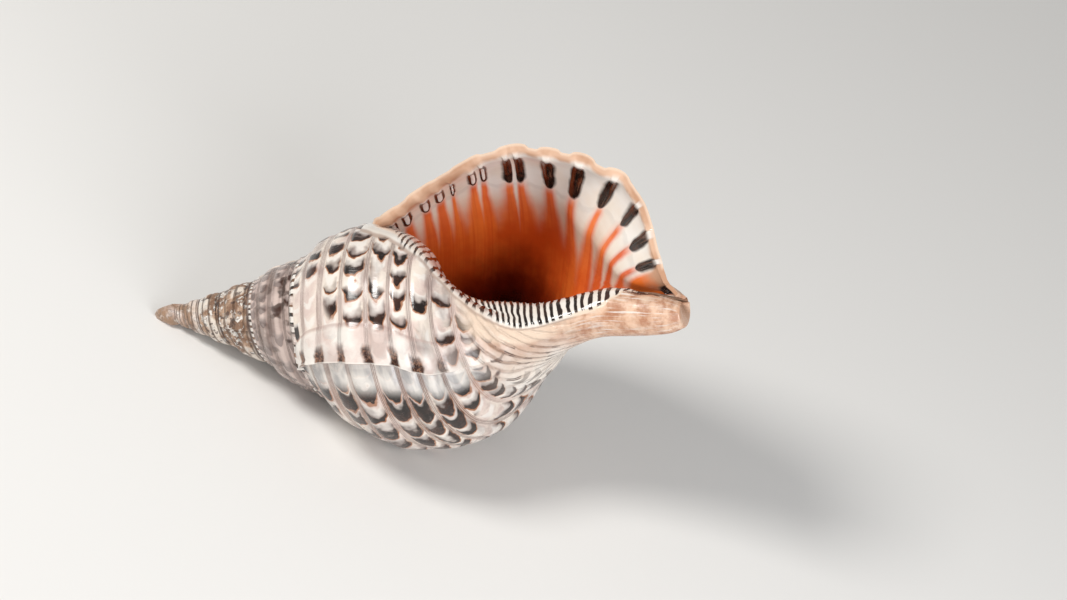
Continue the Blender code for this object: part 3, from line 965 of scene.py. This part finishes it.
def paint_strips(net, at, looks, skin):
    """Strips between the ribs, with fine lines, and rusty past the last varix."""
    strip_from = net.step(at.rib_index, 1.5, 4.0, 0.36, 0.40)
    at.between = net.step(net.less(at.off, strip_from), -0.015, 0.025)
    at.fine = net.math("ABSOLUTE", net.math("SINE", net.times(net.less(at.off, strip_from), 48.0)))
    at.groove = net.times(at.between, net.fall(at.fine, 0.0, 0.5))
    at.strip_tone = net.streaks(at.turn, 16.0, at.rib, 2.0, 3.0)
    strip_colour = net.mix(net.step(at.strip_tone, 0.40, 0.62), looks.blush_pale, looks.blush)
    skin.over(strip_colour, at.between, 0.48)
    groove_colour = net.mix(net.patches(at.place, 55.0, 2.0, 0.4, 0.6), looks.umber_soft, looks.ash)
    skin.over(groove_colour, at.groove, net.step(at.strip_tone, 0.38, 0.62, 0.05, 0.5))
    rusty = net.both(at.between, at.past_varix, net.patches(at.place, 75.0, 2.0, 0.38, 0.52))
    skin.over(looks.rust, rusty, net.step(at.fine, 0.1, 0.7, 1.0, 0.25), 0.85)


def paint_crescents(net, at, looks, skin):
    skin.over(looks.ash, at.smoke, net.add(0.40, net.times(at.shade, 0.5)))
    skin.over(looks.rust, at.rust, net.add(0.80, net.times(at.size, 0.2)))
    tone = Paint(net, looks.ink)
    tone.over(looks.umber, net.patches(at.place, 120.0, 3.0, 0.40, 0.70))
    tone.over(looks.ash, net.step(at.speckle, 0.56, 0.70, 0.0, 0.4))
    skin.over(tone.colour, at.dark)


def paint_cord(net, at, looks, skin):
    """The beaded cord below each suture, brown between its white beads, and the brown suture."""
    bead = net.math("FRACT", net.times(net.add(at.turn, net.times(at.wander, 0.01)), BEADS))
    luck = net.chance(net.vector(net.math("FLOOR", net.times(at.turn, BEADS)), 5.0))[0]
    gaps = net.mix(net.patches(at.place, 90.0, 2.0, 0.42, 0.6), looks.ink, looks.umber_soft)
    beads = Paint(net, gaps)
    beads.over(looks.glaze_white, net.step(net.math("PINGPONG", bead, 0.5), 0.17, 0.26))
    beads.over(looks.blush_pale, net.step(luck, 0.62, 0.70, 0.0, 0.7))
    at.bead_colour = beads.colour
    at.cord = net.both(net.fall(at.across, 0.085, 0.10), net.step(at.across, 0.01, 0.02))
    skin.over(at.bead_colour, at.cord)
    skin.over(looks.umber, net.step(at.across, 0.0, 0.014, 0.9, 0.0))


def paint_varices(net, at, looks, skin):
    """A smooth pale roll with brown spots where the strips reach its edge, painted shade in the crease at
    its foot and a painted highlight along its edge, then a brown line, partly painted shade under the
    overhanging edge, and frost.
    """
    off_suture = net.step(at.across, 0.1, 0.2)
    at.roll = net.both(
        net.step(at.swell, 0.12, 0.34), net.step(at.across, 0.08, 0.12), net.fall(at.across, 1.35, 1.65)
    )
    roll = Paint(net, looks.glaze_white)
    roll.over(looks.blush_pale, net.step(at.cloud, 0.38, 0.62))
    roll.over(looks.ash, net.step(at.ash, 0.50, 0.66), net.step(at.swell, 0.7, 0.4), 0.6)
    skin.over(roll.colour, at.roll, 0.86)
    # painted shade: pink-brown in the crease where the roll rises, standing in for its relief
    crease_shade = net.both(net.band(at.swell, 0.0, 0.10, 0.12, 0.30), net.fall(at.across, 1.35, 1.6))
    skin.over(looks.blush, crease_shade, net.step(at.across, 0.08, 0.14), 0.55)
    near_edge = net.step(net.add(at.swell, net.times(at.wander, 0.10)), 0.60, 0.70)
    spots = net.step(net.add(at.off, net.times(at.wander, 0.35)), 0.25, 0.37)
    spot_colour = net.mix(net.step(at.speckle, 0.45, 0.6), looks.umber, looks.rust_soft)
    skin.over(spot_colour, near_edge, spots, at.roll)
    # painted highlight: white along the top of the roll next to its edge
    skin.over(looks.glaze_white, net.step(at.swell, 0.90, 0.97), at.roll, 0.7)
    # a thin brown line just under the overhanging edge: partly the shell's brown line, partly painted shade
    under = net.both(net.band(at.past, -0.0005, 0.0005, 0.0025, 0.004), net.fall(at.across, 1.3, 1.55))
    skin.over(looks.rust_soft, under, off_suture, 0.85)
    fresh = net.band(at.past, 0.002, 0.004, 0.028, 0.056)
    fresh = net.both(fresh, off_suture, net.fall(at.across, 1.5, 1.7))
    frost = net.mix(net.step(at.strip_tone, 0.38, 0.62), looks.glaze_white, looks.silver)
    skin.over(frost, fresh, net.fall(at.swell, 0.0, 0.05), net.step(at.between, 0.0, 1.0, 0.85, 0.35))


def paint_base(net, at, looks, skin):
    """Cream folds that gather into the canal, brown towards the glaze, with a smooth peach margin."""
    fold = net.add(net.less(at.across, net.times(at.turn, 0.8)), net.times(at.wander, 0.022))
    at.wave = net.math("PINGPONG", net.times(fold, 22.0), 0.5)
    at.on_base = net.band(at.across, 1.56, 1.68, 1.86, 1.93)
    beside_glaze = net.step(at.ahead, -0.26, -0.04)
    shaded = net.step(beside_glaze, 0.0, 1.0, 0.30, 0.80)
    base = Paint(net, looks.glaze_white)
    base.over(looks.cream, net.step(at.cloud, 0.35, 0.7))
    base.over(looks.blush_pale, at.smudge, 0.5)
    base.over(looks.peach_deep, beside_glaze, net.step(at.cloud, 0.3, 0.6, 0.45, 0.9))
    broken = net.patches(at.place, 65.0, 3.0, 0.36, 0.56)
    base.over(looks.rust_soft, net.fall(at.wave, 0.04, 0.30), broken, shaded)
    beside_fold = net.band(at.wave, 0.0, 0.10, 0.10, 0.20)
    base.over(looks.umber, beside_fold, net.patches(at.place, 105.0, 2.0, 0.54, 0.60))
    blots = net.step(net.add(net.noise(at.place, 75.0, 2.0), net.times(at.density, 0.3)), 0.60, 0.68)
    base.over(looks.umber, blots, net.step(at.across, 1.74, 1.66))
    base.over(looks.umber, at.dark, net.step(at.across, 1.78, 1.62), 0.8)
    skin.over(base.colour, at.on_base)
    margin = net.both(net.step(at.ahead, -0.075, -0.045), net.step(at.line, 8.0, 12.0))
    skin.over(looks.peach_pale, margin, net.fall(at.across, 1.88, 1.92), 0.85)


def paint_canal(net, at, looks, skin):
    """Peach horn with pale streaks, and a dark slit along it: painted shade of the hollow under the glaze's
    free edge.
    """
    horn = Paint(net, looks.horn)
    horn.over(looks.peach, net.step(net.streaks(at.turn, 9.0, at.across, 90.0, 5.0, 0.6), 0.36, 0.66))
    crossed = net.streaks(at.turn, 60.0, at.across, 30.0, 4.0, 0.65)
    horn.over(looks.glaze_white, net.step(crossed, 0.52, 0.68, 0.0, 0.75))
    horn.over(looks.peach_pale, net.patches(at.place, 140.0, 3.0, 0.50, 0.66, 0.0, 0.45))
    skin.over(horn.colour, net.step(at.across, 1.84, 1.93))
    # painted shade: dark brown with pale specks where the hollow lies under the glaze's free edge
    chink_shade = net.both(net.band(at.across, 1.935, 1.943, 1.968, 1.982), net.fall(at.turn, -0.93, -0.90))
    specks = net.step(net.noise(at.place, 330.0, 3.0, 0.6), 0.57, 0.64)
    chink_shade_colour = net.mix(specks, looks.umber, looks.peach_pale)
    skin.over(chink_shade_colour, chink_shade, net.patches(at.place, 130.0, 2.0, 0.36, 0.46))


def paint_older_whorls(net, at, looks, skin):
    """Older whorls are greyer and softer, with a painted highlight along their rib crests."""
    crest = net.math("COSINE", net.times(at.rib, math.tau))
    aged = Paint(net, looks.old_blush)
    aged.over(looks.old_grey, net.step(at.patch, 0.46, 0.62))
    # painted highlight: paler blush along the rib crests
    aged.over(looks.blush_pale, net.step(crest, 0.1, 1.0, 0.0, 0.65))
    aged.over(looks.ash, at.smoke, at.on_rib, 0.7)
    blotch = net.step(net.streaks(at.turn, 26.0, at.rib, 0.8, 2.0), 0.50, 0.58)
    aged.over(looks.umber, blotch, net.step(at.across, 0.50, 0.82, 0.5, 1.0))
    aged.over(looks.umber_soft, at.groove, 0.65)
    aged.over(at.bead_colour, at.cord, 0.85)
    aged.over(looks.cream, at.roll, net.step(at.swell, 0.4, 0.8), 0.7)
    skin.over(aged.colour, net.fall(at.turn, -1.35, -0.99), 0.92)


def paint_worn_spire(net, at, looks, skin):
    """The oldest whorls are worn and bleached, darker brown along their sutures, and the tip is bare."""
    at.worn = net.fall(at.turn, -2.6, -1.98)
    at.chalk = net.noise(at.place, 120.0, 5.0, 0.65)
    at.chalky = net.step(net.noise(at.place, 170.0, 5.0, 0.7), 0.52, 0.59)
    bleached = Paint(net, looks.umber_soft)
    bleached.over(looks.tan, net.step(at.chalk, 0.42, 0.60))
    bleached.over(looks.cream, net.step(at.patch, 0.48, 0.58))
    bleached.over(looks.glaze_white, at.chalky)
    bleached.over(looks.umber_soft, net.step(at.off, 0.3, 0.42), net.step(at.patch, 0.4, 0.55), 0.6)
    bleached.over(looks.umber, net.step(net.noise(at.place, 230.0, 3.0, 0.6), 0.56, 0.64), 0.8)
    seam = net.math("MAXIMUM", net.fall(at.across, 0.0, 0.08), net.step(at.across, 0.92, 1.0))
    bleached.over(looks.umber, seam, net.step(at.patch, 0.3, 0.5, 0.4, 0.95))
    skin.over(bleached.colour, at.worn, 0.95)
    tip_colour = net.mix(net.step(at.chalk, 0.4, 0.6), looks.tan, looks.blush_pale)
    skin.over(tip_colour, net.fall(at.turn, -5.0, -4.2), 0.45)


def outside_relief(net, at):
    """Growth lines, cords between the ribs, folds of the base and pits of the worn spire."""
    cords = net.both(at.fine, at.between, net.fall(at.across, 1.5, 1.6), 0.55)
    height = net.add(net.times(net.streaks(at.turn, 260.0, at.rib, 2.0, 3.0, 0.6), 0.22), cords)
    height = net.add(height, net.both(at.on_base, net.step(at.wave, 0.0, 0.3), 0.7))
    height = net.add(height, net.both(at.chalk, at.worn, 2.4))
    return net.add(height, net.both(at.chalky, at.worn, 0.35))


def outside_material(looks, glaze):
    """Cream ribs with dark crescents, pink strips between them, and the glaze over the base."""
    made, net, finish = new_material("shell outside")
    at = OutsidePlaces(net)
    find_bold_places(net, at)
    find_crescents(net, at)
    skin = rib_ground(net, at, looks)
    coats = (
        paint_strips, paint_crescents, paint_cord, paint_varices,
        paint_base, paint_canal, paint_older_whorls, paint_worn_spire,
    )
    for lay in coats:
        lay(net, at, looks, skin)
    lip_edge = net.step(at.turn, -0.03, -0.006)
    skin.over(looks.peach, lip_edge)
    laid = use_group(net, glaze, Line=at.line, Ahead=at.ahead, Depth=0.0, Place=at.place)
    covered = laid["Cover"]
    skin.over(laid["Color"], covered)
    net.put(finish.inputs["Base Color"], skin.colour)

    rough = net.add(net.patches(at.place, 90.0, 4.0, 0.3, 0.7, 0.20, 0.36), net.times(at.worn, 0.26))
    rough = net.less(rough, net.times(at.dark, 0.06))
    net.put(finish.inputs["Roughness"], net.mix_values(covered, rough, laid["Roughness"]))
    gloss(finish, 0.3, 0.16)
    height = net.times(outside_relief(net, at), net.less(1.0, covered))
    height = net.add(height, net.times(laid["Height"], covered))
    bump(net, finish, height, OUTSIDE_BUMP)
    return made


# ------------------------------------------------------------------ inside

class InsidePlaces:
    """Places inside the lip, with lengths in centimetres in from its edge."""

    def __init__(self, net):
        self.turn, self.across = net.uv("growth")
        self.tooth, self.inward = net.uv("lip")
        self.place = net.place()
        self.wander = net.drift(self.place, 120.0, 2.0)
        self.off = net.away(net.add(self.tooth, net.times(self.wander, 0.10)))
        begin = net.step(self.across, 0.60, 1.05, 1.25, 0.80)
        begin = net.less(begin, net.step(self.across, 1.5, 1.85, 0.0, 0.50))
        self.begin = net.add(begin, net.times(self.wander, 0.25))
        stop = net.step(self.across, 0.80, 1.10, 2.9, 4.1)
        stop = net.less(stop, net.step(self.across, 1.40, 1.95, 0.0, 2.3))
        self.stop = net.add(stop, net.times(self.wander, 0.5))
        self.way = net.less(self.inward, self.stop)


def lip_ground(net, at, looks):
    """White, with a peach band along the lip's edge. Further in it warms to pale peach: partly the stripes'
    own cream, partly painted warm bounce light.
    """
    cloud = net.noise(at.place, 50.0, 3.0)
    skin = Paint(net, looks.glaze_white)
    skin.over(looks.cream, net.step(cloud, 0.35, 0.7))
    skin.over(looks.peach_pale, net.step(at.across, 0.5, 1.0, 0.5, 0.0))
    # partly painted warm bounce light: pale peach deeper in, partly the stripes' own warm cream
    skin.over(looks.peach_pale, net.step(at.way, -0.2, 2.2, 0.0, 0.85))
    at_canal = net.step(at.across, 1.88, 1.97)
    width = net.add(net.step(at.across, 0.3, 1.1, 1.65, 0.80), net.times(at_canal, 3.0))
    edge = net.fall(net.add(at.inward, net.times(at.wander, 0.5)), net.times(width, 0.5), width)
    peach = Paint(net, looks.peach)
    peach.over(looks.peach_deep, net.step(cloud, 0.4, 0.65))
    peach.over(looks.peach_deep, net.step(at.off, 0.20, 0.40), 0.35)
    peach.over(looks.peach_pale, net.fall(at.inward, 0.05, 0.22), 0.7)
    skin.over(peach.colour, edge)
    return skin


def paint_flutes(net, at, looks, skin):
    """Orange flutes widen behind the bars until only pale stripes are left, and those fade."""
    orange = Paint(net, looks.orange)
    orange.over(looks.orange_deep, net.patches(at.place, 35.0, 3.0, 0.35, 0.7))
    grain = net.streaks(at.tooth, 7.0, at.turn, 4.0, 3.0)
    orange.over(looks.orange_deep, net.step(grain, 0.42, 0.62, 0.0, 0.55))
    half = net.add(net.step(at.across, 1.15, 1.6, 0.27, 0.23), net.step(at.way, 0.0, 5.0, 0.0, 0.24))
    flute = net.fall(net.less(at.off, half), -0.17, 0.15)
    skin.over(orange.colour, net.step(at.way, -0.6, 0.6), flute, 0.95)
    late = net.step(at.across, 1.2, 1.65, 0.0, 1.7)
    skin.over(orange.colour, net.step(net.less(net.add(at.way, net.times(at.wander, 1.5)), late), 0.4, 4.4))
    skin.over(looks.ash, net.band(at.way, -0.15, 0.0, 0.15, 0.4), net.step(at.off, 0.25, 0.35), 0.12)


def paint_bars(net, at, looks, skin):
    """Black-brown bars, split by a pale core near the suture, with a painted highlight on the raised bump at
    their outer end.
    """
    middle = net.times(net.add(at.begin, at.stop), 0.5)
    reach = net.times(net.less(at.stop, at.begin), 0.5)
    along = net.math("ABSOLUTE", net.math("DIVIDE", net.less(at.inward, middle), reach))
    beside = net.math("POWER", net.times(at.off, 3.3), 2.0)
    out = net.add(beside, net.math("POWER", along, 6.0))
    at.bar = net.fall(out, 0.62, 1.30)
    ink = Paint(net, looks.ink)
    ink.over(looks.umber, net.patches(at.place, 220.0, 2.0, 0.40, 0.7))
    streak = net.streaks(at.tooth, 22.0, at.inward, 0.6, 2.0)
    ink.over(looks.rust_soft, net.step(streak, 0.55, 0.68, 0.0, 0.4))
    ink.over(looks.glaze_white, net.fall(out, 0.12, 0.26), net.fall(at.across, 0.95, 1.0))
    skin.over(ink.colour, at.bar)
    # painted highlight: glaze white on the raised outer end of each bar; the same mask lifts it in the bump
    at.knob = net.both(
        net.fall(at.off, 0.13, 0.24),
        net.step(at.inward, net.less(at.begin, 0.40), at.begin),
        net.fall(at.inward, at.begin, net.add(at.begin, 0.38)),
    )
    skin.over(looks.glaze_white, at.knob, 0.8)


def paint_throat(net, at, looks, skin):
    """Red-brown further in, then nearly black: partly the shell's deeper colour, mostly painted shade deep
    in the throat. Beside the canal the lip is peach, over orange.
    """
    # far: how deep a place lies for the painted shade, deepest to the left and middle
    far = net.less(at.inward, net.step(at.across, 1.05, 1.6, 0.0, 2.6))
    far = net.add(far, net.times(at.wander, 1.2))
    # painted shade: red-brown, then nearly black, partly the throat's own deeper colour
    skin.over(looks.throat, net.step(far, 8.0, 11.4))
    skin.over(looks.deep_throat_shade, net.step(far, 10.2, 13.0))
    end_colour = net.mix(net.step(net.add(at.inward, at.wander), 0.5, 2.0), looks.peach_deep, looks.orange)
    skin.over(end_colour, net.step(at.across, 1.885, 1.905), net.fall(at.bar, 0.0, 1.0))


def inside_material(looks):
    """The lip's peach edge, its dark teeth on white, and orange flutes that darken down the throat, partly
    in colour and mostly as painted shade.
    """
    made, net, finish = new_material("shell inside")
    at = InsidePlaces(net)
    skin = lip_ground(net, at, looks)
    for lay in (paint_flutes, paint_bars, paint_throat):
        lay(net, at, looks, skin)
    net.put(finish.inputs["Base Color"], skin.colour)
    net.put(finish.inputs["Roughness"], net.patches(at.place, 80.0, 3.0, 0.3, 0.7, 0.12, 0.24))
    gloss(finish, 0.5, 0.06)
    ripple = net.times(net.streaks(at.turn, 120.0, at.tooth, 1.5, 3.0), 0.25)
    bump(net, finish, net.add(ripple, net.times(at.knob, 0.8)), INSIDE_BUMP)
    return made


def inner_wall_material(looks, glaze):
    """The inner lip's glaze carried on into the aperture."""
    made, net, finish = new_material("shell inner wall")
    turn = net.uv("growth")[0]
    line, ahead = net.uv("glaze")
    laid = use_group(net, glaze, Line=line, Ahead=ahead, Depth=net.less(-1.0, turn), Place=net.place())
    net.put(finish.inputs["Base Color"], laid["Color"])
    net.put(finish.inputs["Roughness"], laid["Roughness"])
    gloss(finish, 0.4, 0.08)
    bump(net, finish, laid["Height"], OUTSIDE_BUMP)
    return made


# ------------------------------------------------------------------ settings

def measure(name, description, default):
    return FloatProperty(
        name=name, description=description, default=default, unit="LENGTH", subtype="DISTANCE"
    )


def tint(name, description, default):
    return FloatVectorProperty(
        name=name, description=description, default=default, size=4, min=0.0, max=1.0, subtype="COLOR"
    )


class TritonSizes(bpy.types.PropertyGroup):
    """Heights of the shell's relief."""

    rib_height: measure("Rib height", "Height of the spiral ribs at full growth", 1.4 * MM)
    cord_height: measure("Cord height", "Height of the beaded cord below the suture", 1.6 * MM)
    varix_height: measure("Varix height", "Height of the older lips' edges at full growth", 5.2 * MM)
    fold_height: measure("Fold height", "Height of the folds across the inner lip", 0.9 * MM)
    margin_height: measure("Margin height", "Height of the toothed ridge along the glaze's end", 1.1 * MM)
    tooth_height: measure("Tooth height", "Height of the teeth inside the outer lip", 1.3 * MM)
    lip_scallop: FloatProperty(
        name="Lip scallop",
        description="How much higher the ribs stand at the lip's edge",
        default=0.7,
        subtype="FACTOR",
    )


class TritonLooks(bpy.types.PropertyGroup):
    """Colours of the shell."""

    cream: tint("Cream", "Crests of the ribs", (0.86, 0.76, 0.66, 1.0))
    blush: tint("Blush", "Pink-brown of the strips between the ribs", (0.47, 0.32, 0.28, 1.0))
    blush_pale: tint("Pale blush", "Pinkish ground", (0.74, 0.59, 0.53, 1.0))
    ash: tint("Ash", "Smoky grey above the crescents", (0.20, 0.155, 0.145, 1.0))
    silver: tint("Silver", "Cool grey past the varix", (0.52, 0.50, 0.49, 1.0))
    rust: tint("Rust", "Orange-brown rim of the crescents", (0.36, 0.13, 0.045, 1.0))
    rust_soft: tint("Soft rust", "Spots along the varices", (0.30, 0.15, 0.09, 1.0))
    umber: tint("Umber", "Dark brown", (0.055, 0.022, 0.014, 1.0))
    umber_soft: tint("Soft umber", "Brown of the worn spire", (0.22, 0.11, 0.055, 1.0))
    ink: tint("Ink", "Black-brown of crescents, lines and teeth", (0.014, 0.008, 0.006, 1.0))
    glaze_white: tint("Glaze white", "White of the inner lip and the teeth", (0.90, 0.85, 0.79, 1.0))
    peach: tint("Peach", "Edge of the outer lip and the canal", (0.80, 0.53, 0.37, 1.0))
    peach_pale: tint("Pale peach", "Margin of the inner lip and ground of the base", (0.86, 0.68, 0.53, 1.0))
    peach_deep: tint("Deep peach", "Darker patches of the lip's edge", (0.56, 0.31, 0.19, 1.0))
    horn: tint("Horn", "Orange-brown of the canal", (0.48, 0.22, 0.12, 1.0))
    old_blush: tint("Old blush", "Grey-pink of the older whorls", (0.50, 0.38, 0.34, 1.0))
    old_grey: tint("Old grey", "Darker patches of the older whorls", (0.27, 0.19, 0.165, 1.0))
    tan: tint("Tan", "Worn spire", (0.55, 0.36, 0.24, 1.0))
    orange: tint("Orange", "Flutes inside the aperture", (0.93, 0.20, 0.032, 1.0))
    orange_deep: tint("Deep orange", "Deeper orange of the throat", (0.74, 0.10, 0.014, 1.0))
    # Throat and Deep throat: partly the shell's deeper colour, mostly painted shade deep in the aperture
    throat: tint("Throat", "Red-brown further down", (0.20, 0.018, 0.003, 1.0))
    deep_throat_shade: tint("Deep throat", "Bottom of the throat", (0.018, 0.002, 0.001, 1.0))


class TritonStage(bpy.types.PropertyGroup):
    """Floor and light."""

    floor_colour: tint("Floor", "Colour of the floor", (0.80, 0.79, 0.77, 1.0))
    floor_size: measure("Floor size", "Side of the floor", 6.0)
    key_power: FloatProperty(
        name="Key light", description="Power of the main light", default=16.0, unit="POWER"
    )
    fill_power: FloatProperty(
        name="Fill light", description="Power of the second light", default=11.0, unit="POWER"
    )
    sky: FloatProperty(name="Sky", description="Strength of the light from all round", default=0.30)


# ------------------------------------------------------------------ stage

def view_axes():
    """The middle of the view, and its right, up and back, in the world."""
    right = Vector((math.cos(VIEW_TURN), math.sin(VIEW_TURN), 0.0))
    up = Vector((0.0, 0.0, 1.0))
    lean_right = right * math.cos(VIEW_LEAN) + up * math.sin(VIEW_LEAN)
    lean_up = up * math.cos(VIEW_LEAN) - right * math.sin(VIEW_LEAN)
    turned = REST_TURN.to_matrix()
    centre = turned @ (right * VIEW_CENTRE[0] + up * VIEW_CENTRE[1]) - REST_MIDDLE
    return centre, turned @ lean_right, turned @ lean_up, turned @ lean_right.cross(lean_up)


def area_light(name, offset, size, power, colour):
    """A round light, aimed at the middle of the view."""
    centre, right, up, back = view_axes()
    place = centre + right * offset[0] + up * offset[1] + back * offset[2]
    data = bpy.data.lights.new(name, "AREA")
    data.shape = "DISK"
    data.size = size
    data.energy = power
    data.color = colour
    light = bpy.data.objects.new(name, data)
    bpy.context.scene.collection.objects.link(light)
    turned = (place - centre).to_track_quat("Z", "Y").to_matrix().to_4x4()
    light.matrix_world = Matrix.Translation(place) @ turned


def make_camera():
    centre, right, up, back = view_axes()
    data = bpy.data.cameras.new("view")
    data.lens = LENS
    data.sensor_width = SENSOR
    data.clip_start = CLIP_START
    data.clip_end = CLIP_END
    camera = bpy.data.objects.new("view", data)
    bpy.context.scene.collection.objects.link(camera)
    turned = Matrix((right, up, back)).transposed().to_4x4()
    camera.matrix_world = Matrix.Translation(centre + back * (VIEW_WIDTH * LENS / SENSOR)) @ turned
    bpy.context.scene.camera = camera


def make_floor(stage):
    mesh = bmesh.new()
    bmesh.ops.create_grid(mesh, x_segments=1, y_segments=1, size=stage.floor_size / 2.0)
    data = bpy.data.meshes.new("floor")
    mesh.to_mesh(data)
    mesh.free()
    paper, net, finish = new_material("floor paper")
    grain = net.patches(net.place(), PAPER_GRAIN, 2.0, 0.3, 0.7, *PAPER_ROUGHNESS)
    net.put(finish.inputs["Roughness"], grain)
    finish.inputs["Base Color"].default_value = stage.floor_colour
    data.materials.append(paper)
    floor = bpy.data.objects.new("floor", data)
    bpy.context.scene.collection.objects.link(floor)


class TRITON_OT_shell(bpy.types.Operator):
    """Lay the finished surface of the shell over its solid"""

    bl_idname = "triton.shell"
    bl_label = "Build the shell"

    def execute(self, context):
        scene = context.scene
        mesh = shell_mesh(scene.triton_sizes)
        data = bpy.data.meshes.new("shell_surface")
        mesh.to_mesh(data)
        mesh.free()
        glaze = glaze_group(scene.triton_looks)
        data.materials.append(outside_material(scene.triton_looks, glaze))
        data.materials.append(inside_material(scene.triton_looks))
        data.materials.append(inner_wall_material(scene.triton_looks, glaze))
        data.shade_smooth()
        data.set_sharp_from_angle(angle=SHARP)
        piece = bpy.data.objects.new("shell_surface", data)
        scene.collection.objects.link(piece)
        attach(piece, "root")
        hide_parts("shell")
        return {"FINISHED"}


class TRITON_OT_stage(bpy.types.Operator):
    """Set up the floor, the light and the view"""

    bl_idname = "triton.stage"
    bl_label = "Build the stage"

    def execute(self, context):
        stage = context.scene.triton_stage
        make_floor(stage)
        make_camera()
        area_light("key", KEY_PLACE, KEY_SIZE, stage.key_power, KEY_TINT)
        area_light("fill", FILL_PLACE, FILL_SIZE, stage.fill_power, FILL_TINT)
        world = bpy.data.worlds.new("studio")
        world.use_nodes = True
        ground = world.node_tree.nodes["Background"]
        ground.inputs["Color"].default_value = SKY_TINT
        ground.inputs["Strength"].default_value = stage.sky
        context.scene.world = world
        context.scene.view_settings.view_transform = "Standard"
        return {"FINISHED"}


class TRITON_PT_sidebar(bpy.types.Panel):
    """Builds the shell and its stage"""

    bl_label = "Triton shell"
    bl_idname = "TRITON_PT_sidebar"
    bl_space_type = "VIEW_3D"
    bl_region_type = "UI"
    bl_category = "Shell"

    def draw(self, context):
        scene = context.scene
        for operator in ("triton.shell", "triton.stage"):
            self.layout.operator(operator)
        for settings in (scene.triton_sizes, scene.triton_looks, scene.triton_stage):
            column = self.layout.column()
            for name in type(settings).__annotations__:
                column.prop(settings, name)


CLASSES = (TritonSizes, TritonLooks, TritonStage, TRITON_OT_shell, TRITON_OT_stage, TRITON_PT_sidebar)


def register():
    for item in CLASSES:
        bpy.utils.register_class(item)
    bpy.types.Scene.triton_sizes = PointerProperty(type=TritonSizes)
    bpy.types.Scene.triton_looks = PointerProperty(type=TritonLooks)
    bpy.types.Scene.triton_stage = PointerProperty(type=TritonStage)


def unregister():
    del bpy.types.Scene.triton_stage
    del bpy.types.Scene.triton_looks
    del bpy.types.Scene.triton_sizes
    for item in reversed(CLASSES):
        bpy.utils.unregister_class(item)


def main():
    register()
    bpy.ops.triton.shell()
    bpy.ops.triton.stage()


if __name__ == "__main__":
    main()
